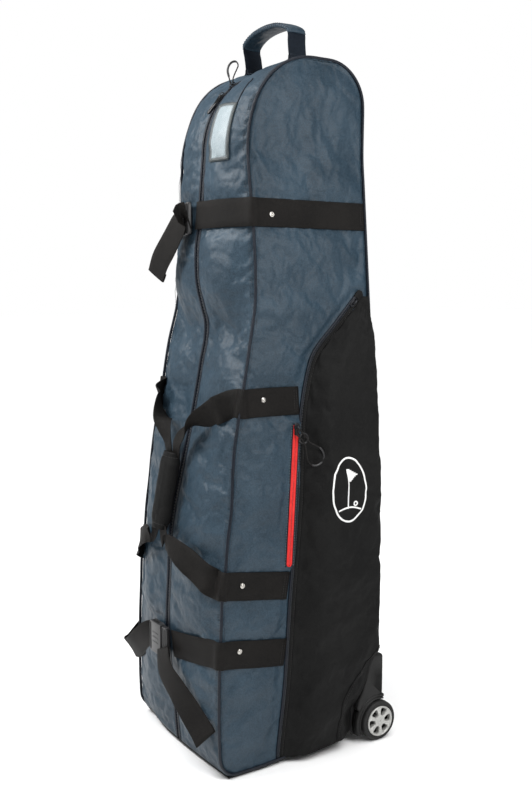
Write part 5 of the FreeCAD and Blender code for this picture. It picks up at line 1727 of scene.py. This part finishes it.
def make_pocket_zips():
    bands = {"binding": [], "tape": [], "flap": []}
    coils, threads, garages = [], [], []
    for side in (1, -1):
        path = pocket_zip_line(side)
        frames = []
        for k in range(len(path)):
            along = (path[min(k + 1, len(path) - 1)] - path[max(k - 1, 0)]).normalized()
            frames.append(wall_frame(along, side))
        turn = 1 if frames[len(path) // 2][0].y > 0 else -1
        shapes = {"binding": [(-6.6, 0.1), (-6.6, 1.4), (-5.8, 2.3), (-3, 2.4), (-1.8, 1.8),
                              (-1.4, 0.3)],
                  "tape": [(-5, 0.1), (-5, 0.7), (6.4, 0.7), (6.4, 0.1)],
                  "flap": [(1.5, 0.6), (1.3, 1.7), (2.0, 2.4), (4.6, 2.7), (7.2, 2.5),
                           (9.4, 2.0), (9.6, 0.4)]}
        for name, shape in shapes.items():
            shape = [(a * turn, b) for a, b in shape]
            bands[name].append(sweep(path, shape[::-turn], frames))
        coil_line = [p - f[0] * turn * 0.1 + f[1] * 0.6 for p, f in zip(path, frames)]
        coils.append(coil_teeth(coil_line, [f[0] for f in frames], [f[1] for f in frames], 3.4,
                                2.4, 1.2))
        for reach, height in ((-4.2, 2.35), (6.6, 2.6)):
            line = [p + f[0] * turn * reach + f[1] * height for p, f in zip(path, frames)]
            threads.append(stitches(line, [f[1] for f in frames], 3.2, 1.6, 0.34, 0.1))
        tip, out = path[-1], frames[-1][1]
        up = (path[-1] - path[-2]).normalized()
        place = frame_matrix(tip, up.cross(out), up, out)
        hood = plate([rounded([(-8, -12), (8, -12), (8, 4), (0, 8), (-8, 4)], [2, 2, 6, 6, 6])],
                     2.0, 0.8, raised(place, 2.4))
        garages.append(hood)
    for name, material, slot in (("binding", PIPING, "piping"), ("tape", BLACK_TAPE, "zip_tape"),
                                 ("flap", BLACK_CLOTH, "black_fabric")):
        verts, faces = joined(bands[name])
        piece("pocket_zip_" + name, verts, faces, material, "case",
              ("pocket_zips",) if name == "tape" else ())
    for name, parts, material, slot in (("coil", coils, COIL, "zip_tape"),
                                        ("stitching", threads, DARK_THREAD, "black_fabric"),
                                        ("garage", garages, BLACK_CLOTH, "black_fabric")):
        verts, faces = joined(parts)
        piece("pocket_zip_" + name, verts, faces, material, "case")
    top, low = (Vector((half_width(z), y, z)) for y, z in ((146, 850), (42, 746)))
    up = (top - low).normalized()
    out = Vector((1, 0, 0))
    out = (out - up * out.dot(up)).normalized()
    place = frame_matrix(top - up * 20 + out * 2.6, up.cross(out), up, out)
    verts, faces = slider_parts(place)
    piece("pocket_zip_slider_right", verts, faces, SLIDER, "pocket_zip_right",
          ("pocket_slider_right",))
    verts, faces = mirror_x((verts, faces))
    piece("pocket_zip_slider_left", verts, faces, SLIDER, "pocket_zip_left",
          ("pocket_slider_left",))


make_pocket_zips()


# ================================================================ red accent zip
def make_accent_zip():
    down = (ACCENT_LOW - ACCENT_TOP).normalized()
    out = Vector((1, 0, 0))
    out = (out - down * out.dot(down)).normalized()
    across = down.cross(out)
    length = (ACCENT_LOW - ACCENT_TOP).length
    rows = 90
    halves = []
    for sign in (1, -1):
        verts = []
        for k in range(rows + 1):
            t = 0.5 - 0.5 * math.cos(math.pi * k / rows)
            spot = ACCENT_TOP + down * length * t
            end = min(t, 1 - t) * length
            half = 6.0 * math.sqrt(1 - (1 - clamp(end / 6.0)) ** 2) + 0.05
            for a, b in ((0.12, 0.0), (0.12, 1.2), (0.3, 1.65), (0.55, 1.8), (0.85, 1.5),
                         (1.0, 0.8), (1.0, 0.0)):
                verts.append(spot + across * (a * half * sign) + out * b)
        faces = grid_faces(rows + 1, 7, wrap=True, flip=sign > 0)
        ends = [tuple(range(7)), tuple(range(len(verts) - 1, len(verts) - 8, -1))]
        faces += ends if sign > 0 else [end[::-1] for end in ends]
        halves.append((verts, faces))
    verts, faces = joined(halves)
    piece("accent_zip_tapes", verts, faces, RED_TAPE, "case", ("accent_zip",))
    line = [ACCENT_TOP + down * (3 + (length - 6) * k / 40) + out * 0.5 for k in range(41)]
    verts, faces = coil_teeth(line, [across] * 41, [out] * 41, 3.2, 2.0, 0.9)
    piece("accent_zip_coil", verts, faces, RED_COIL, "case")
    welt, threads = [], []
    for sign in (1, -1):
        edge = [ACCENT_TOP + down * (length * k / 40) + across * (6.9 * sign) + out * 0.5
                for k in range(41)]
        welt.append(sweep(edge, ring_of(1.1, 8)))
        edge = [p + across * (1.9 * sign) - out * 0.2 for p in edge]
        threads.append(stitches(edge, [out] * 41, 2.6, 2.2, 0.42, 0.1))
    verts, faces = joined(welt)
    piece("accent_zip_welts", verts, faces, PIPING, "case")
    verts, faces = joined(threads)
    piece("accent_zip_stitching", verts, faces, CARD, "case")
    place = frame_matrix(ACCENT_TOP + down * 9 + out * 2.3, (-down).cross(out), -down, out)
    verts, faces = slider_parts(place)
    piece("accent_zip_slider", verts, faces, SLIDER, "accent_slider",
          ("accent_slider",))
    centre = Vector((13.5, -16, 4.6))
    loop = [place @ (centre + Vector((9 * math.cos(a), 9 * math.sin(a), 0)))
            for a in (2 * math.pi * k / 40 for k in range(40))]
    verts, faces = sweep(loop, ring_of(1.25, 10), closed=True)
    piece("accent_pull_ring", verts, faces, RUBBERISED, "accent_pull", ("accent_ring",))
    make_pull("accent_zip_pull", ACCENT_PULL, place, "accent_pull", "accent_pull",
              [(0.3, 0.58, 1.9)])


make_accent_zip()


# ================================================================ wheels and corner guards
WHEEL_Y, WHEEL_Z = 165.0, 38.0


def axle_matrix(x):
    """Local +Z along the axle outward, local X towards the back, local Y up."""
    return frame_matrix((x, WHEEL_Y, WHEEL_Z), (0, 1, 0), (0, 0, 1), (1, 0, 0))


def both_sides(name, part, material, bodies, nodes):
    """A right-hand piece and its mirrored twin."""
    for word, shape, body, node_name in zip(("right", "left"), (part, mirror_x(part)), bodies,
                                            nodes):
        piece(f"{name}_{word}", shape[0], shape[1], material, body,
              (node_name,) if node_name else ())


def make_tyre():
    """Rubber tyre with round shoulders, two tread grooves and a raised side bead."""
    profile = [(30, 0), (30, 20), (31, 20), (31.6, 19.6), (33.8, 19.6), (34.2, 20), (35, 19.9),
               (36.6, 19), (37.5, 17.6), (37.9, 15.6), (37.9, 13.6), (37.2, 13.3), (37.2, 12.5),
               (37.9, 12.2), (38, 10), (37.9, 7.8), (37.2, 7.5), (37.2, 6.7), (37.9, 6.4),
               (37.9, 4.4), (37.5, 2.4), (36.4, 0.9), (35, 0.1), (34, 0)]
    return lathe(profile, 72, axle_matrix(173.2))


def make_hub():
    """Dished hub: a back plate, a bearing seat and an outer rim, with six webs between."""
    profile = [(11, 0), (29.9, 0), (29.9, 16), (27.4, 16), (26.8, 15.2), (26.2, 4.4), (25.4, 3.6),
               (14.8, 3.6), (14.2, 4.4), (13.6, 14.6), (13, 15.2), (11, 15.2)]
    place = axle_matrix(174.2)
    parts = [lathe(profile, 64, place)]
    for k in range(6):
        turn = Matrix.Rotation(math.radians(60 * k + 30), 4, "Z")
        parts.append(plate([rectangle(13.4, 26.8, -1.2, 1.2, 0.8)], 10.5, 0.4,
                           place @ turn @ Matrix.Translation((0, 0, 3.4))))
    return joined(parts)


def cap_slot(turn, grow=0.0):
    """A rounded window of the cap, wider towards the rim."""
    corners = [(11 - grow, -3.4 - grow), (25.2 + grow, -9 - grow), (25.2 + grow, 9 + grow),
               (11 - grow, 3.4 + grow)]
    shape = rounded(corners, [2.6, 4.4, 4.4, 2.6], 6)
    c, s = math.cos(turn), math.sin(turn)
    return [(x * c - y * s, x * s + y * c) for x, y in shape]


def make_cap_shape():
    """Painted wheel cap: six deep windows, a raised rim and a low centre boss."""
    face = axle_matrix(191.9)
    turns = [math.radians(60 * k + 6) for k in range(6)]
    parts = [plate([circle(0, 0, 28, 72)] + [cap_slot(t) for t in turns], 2.4, 0.9, face)]
    parts += [plate([cap_slot(t, 0.9), cap_slot(t, -0.3)], 7.0, 0.2, raised(face, -6.2))
              for t in turns]
    rim = [(26.6, 0.2), (26.8, 2.4), (27.4, 3.1), (28.3, 3.2), (29, 2.4), (29, 0), (28, -1)]
    parts.append(lathe(rim, 72, face))
    boss = [(0.01, 1.8), (0.01, 2.7), (4.6, 2.75), (6.4, 2.6), (7.2, 2.2), (7.4, 1.8)]
    parts.append(lathe(boss, 40, face))
    return joined(parts)


def make_wheels():
    wheels = ("wheel_right", "wheel_left")
    both_sides("tyre_tread", make_tyre(), TYRE, wheels, ("tyre_right", "tyre_left"))
    both_sides("hub_moulding", make_hub(), HUB, wheels,
               ("wheel_hub_right", "wheel_hub_left"))
    both_sides("cap_disc", make_cap_shape(), SILVER, wheels,
               ("wheel_cap_right", "wheel_cap_left"))


def guard_matrix(x):
    """Local X towards the back, local Y up, local Z outward, from the centre plane."""
    return frame_matrix((x, 0, 0), (0, 1, 0), (0, 0, 1), (1, 0, 0))


def arc_points(radius, low, high, step=7):
    """(y, z) points round the axle between two angles in degrees from the back."""
    turns = [math.radians(lerp(low, high, k / step)) for k in range(step + 1)]
    return [(WHEEL_Y + radius * math.cos(t), WHEEL_Z + radius * math.sin(t)) for t in turns]


def make_guard():
    """Moulded corner guard: skirt, domed tongue, rear wrap, stepped wheel arch and boss."""
    skirt = rounded([(112, 14), (176, 14), (176, 166), (152, 166), (140, 132), (112, 62)],
                    [3, 2, 2, 9, 30, 20], 5)
    parts = [plate([skirt], 2.4, 0.8, guard_matrix(168.5))]
    tongue = rounded([(177, 88), (177, 168), (153, 168), (144, 150), (137.5, 125), (129, 103),
                      (119.5, 84), (115.2, 66)], [1, 7, 8, 20, 40, 40, 30, 6], 5)[3:-3]
    tongue += arc_points(49, 152, 74, 12)
    parts.append(plate([tongue], 17.6, 3.6, guard_matrix(168.6), 4))
    wrap = rounded([(-150, 14), (-168.2, 14), (-168.2, 80), (-184, 90), (-184, 166), (-150, 166)],
                   [5, 1, 2, 2, 3, 8], 4)
    back = frame_matrix((0, 167.8, 0), (-1, 0, 0), (0, 0, 1), (0, 1, 0))
    parts.append(plate([wrap], 9.2, 3.2, back, 4))
    section = [(50.9, 0), (50.9, 13.4), (50.3, 15.8), (48.8, 17.0), (46.8, 17.2), (45.9, 16.4),
               (45.4, 15.2), (44.8, 15.3), (44.2, 17.2), (43.2, 17.9), (42, 17.8), (41.2, 17),
               (41, 15.6), (41, 0)]
    place = axle_matrix(170.3)
    verts, steps = [], 48
    for k in range(steps + 1):
        turn = math.radians(lerp(73, 208, k / steps))
        for r, along in section:
            verts.append(place @ Vector((r * math.cos(turn), r * math.sin(turn), along)))
    count = len(section)
    faces = grid_faces(steps + 1, count, wrap=True)
    faces += [tuple(range(count))[::-1],
              tuple(range(len(verts) - count, len(verts)))]
    parts.append((verts, faces))
    boss = [(4.2, 0), (4.2, 2.2), (6.2, 2.3), (8.2, 1.9), (9, 0.9), (9, 0)]
    parts.append(lathe(boss, 36, axle_matrix(170.6)))
    return joined(parts)


make_wheels()
both_sides("corner_guard", make_guard(), MOULDED, ("case", "case"),
           ("wheel_housing_right", "wheel_housing_left"))


# ================================================================ base
def make_base():
    """Bottom panel: a level front foot that rises to the wheels, and its bound edge."""
    grid = []
    for i in range(61):
        line = []
        for j in range(41):
            x = lerp(-1, 1, j / 40) * (half_width(0) - 0.5)
            nose = front_point(x, 4.5).y + 0.5
            y = lerp(nose, BACK_Y - 0.5, i / 60)
            z = clamp((y + 87) / 254) * 25.0
            edge = min(i, 60 - i, j, 40 - j) / 4
            line.append(Vector((x, y, z + 0.9 * (1 - smooth(edge)))))
        grid.append(line)

    def detail(v, u, p):
        fade = smooth(min(u, 1 - u, v, 1 - v), 0, 0.06)
        return -fade * (0.25 * crease(p, 60) - 0.12)
    verts, faces = shell_from_grid(refined(grid, detail), 2.4, flip=True)
    return piece("base_panel_moulding", verts, faces, MOULDED, "case",
                 ("base_panel",))


make_base()


# ================================================================ finish of the hidden parts



def finish_cad_nodes():
    board = plastic_material("grey_board", (0.10, 0.10, 0.095), (0.16, 0.16, 0.15), 0.8, 300, 0.3)
    foam = plastic_material("hood_foam_grey", (0.12, 0.12, 0.12), (0.2, 0.2, 0.2), 0.9, 260, 0.8)
    for name, obj in NODES.items():
        material = STEEL
        if "board" in name:
            material = board
        elif "foam" in name:
            material = foam
        elif "bearing" in name:
            material = HUB
        obj.data.materials.clear()
        obj.data.materials.append(material)


finish_cad_nodes()


# ================================================================ camera, light and floor
LENS_MM = 954 / 800 * 36
CAMERA_AZIMUTH, CAMERA_PITCH = 57.8, 6.55
CAMERA_HEIGHT, CAMERA_REACH = 0.857, 1.821
FLOOR_REACH = 30000
AMBIENT = 0.26


def direction_of(azimuth, elevation):
    """The unit direction towards an azimuth and elevation in degrees, 0 being the front."""
    a, e = math.radians(azimuth), math.radians(elevation)
    return Vector((math.sin(a) * math.cos(e), -math.cos(a) * math.cos(e), math.sin(e)))


def make_camera():
    camera = bpy.data.cameras.new("camera")
    camera.sensor_width = 36
    camera.lens = LENS_MM
    camera.shift_x = 0.016
    camera.clip_end = 50
    obj = bpy.data.objects.new("camera", camera)
    SCENE.collection.objects.link(obj)
    azimuth, pitch = math.radians(CAMERA_AZIMUTH), math.radians(CAMERA_PITCH)
    obj.location = (math.sin(azimuth) * CAMERA_REACH, -math.cos(azimuth) * CAMERA_REACH,
                    CAMERA_HEIGHT)
    look = Vector((-math.sin(azimuth) * math.cos(pitch), math.cos(azimuth) * math.cos(pitch),
                   -math.sin(pitch)))
    obj.rotation_euler = look.to_track_quat("-Z", "Y").to_euler()
    SCENE.camera = obj


def softbox(name, azimuth, elevation, reach, size, power, aim):
    """A square area light aimed at the case's middle line at a height."""
    light = bpy.data.lights.new(name, "AREA")
    light.shape, light.size, light.energy = "SQUARE", size, power
    obj = bpy.data.objects.new(name, light)
    SCENE.collection.objects.link(obj)
    back = direction_of(azimuth, elevation)
    obj.location = Vector((0, 0, aim)) + back * reach
    obj.rotation_euler = (-back).to_track_quat("-Z", "Y").to_euler()


def sunlight(azimuth, elevation, strength, spread):
    """A broad even light, like a studio ceiling, from one direction."""
    light = bpy.data.lights.new("ceiling", "SUN")
    light.energy, light.angle = strength, math.radians(spread)
    obj = bpy.data.objects.new("ceiling", light)
    SCENE.collection.objects.link(obj)
    back = direction_of(azimuth, elevation)
    obj.rotation_euler = back.to_track_quat("Z", "Y").to_euler()


def make_stage():
    """White surroundings, dimmer as a light than as a backdrop, and a white floor."""
    world = bpy.data.worlds.new("studio")
    world.use_nodes = True
    tree = world.node_tree
    light_path = tree.nodes.new("ShaderNodeLightPath")
    strength = math_node(tree, "ADD", math_node(tree, "MULTIPLY",
                         light_path.outputs["Is Camera Ray"], 1 - AMBIENT), AMBIENT)
    background = tree.nodes["Background"]
    background.inputs[0].default_value = (1, 1, 1, 1)
    tree.links.new(strength, background.inputs[1])
    SCENE.world = world
    material = new_material("floor", (0.92, 0.92, 0.92), 0.9)[0]
    corners = [(x * FLOOR_REACH, y * FLOOR_REACH, -0.5)
               for x, y in ((-1, -1), (1, -1), (1, 1), (-1, 1))]
    floor = piece("floor", corners, [(0, 1, 2, 3)], material, None)
    sunlight(50, 80, 2.85, 60)
    softbox("key", -20, 26, 1.4, 0.7, 38, 1.22)
    softbox("side", 100, 14, 1.4, 0.7, 15, 1.0)


make_stage()
make_camera()
SCENE.view_settings.view_transform = "Standard"
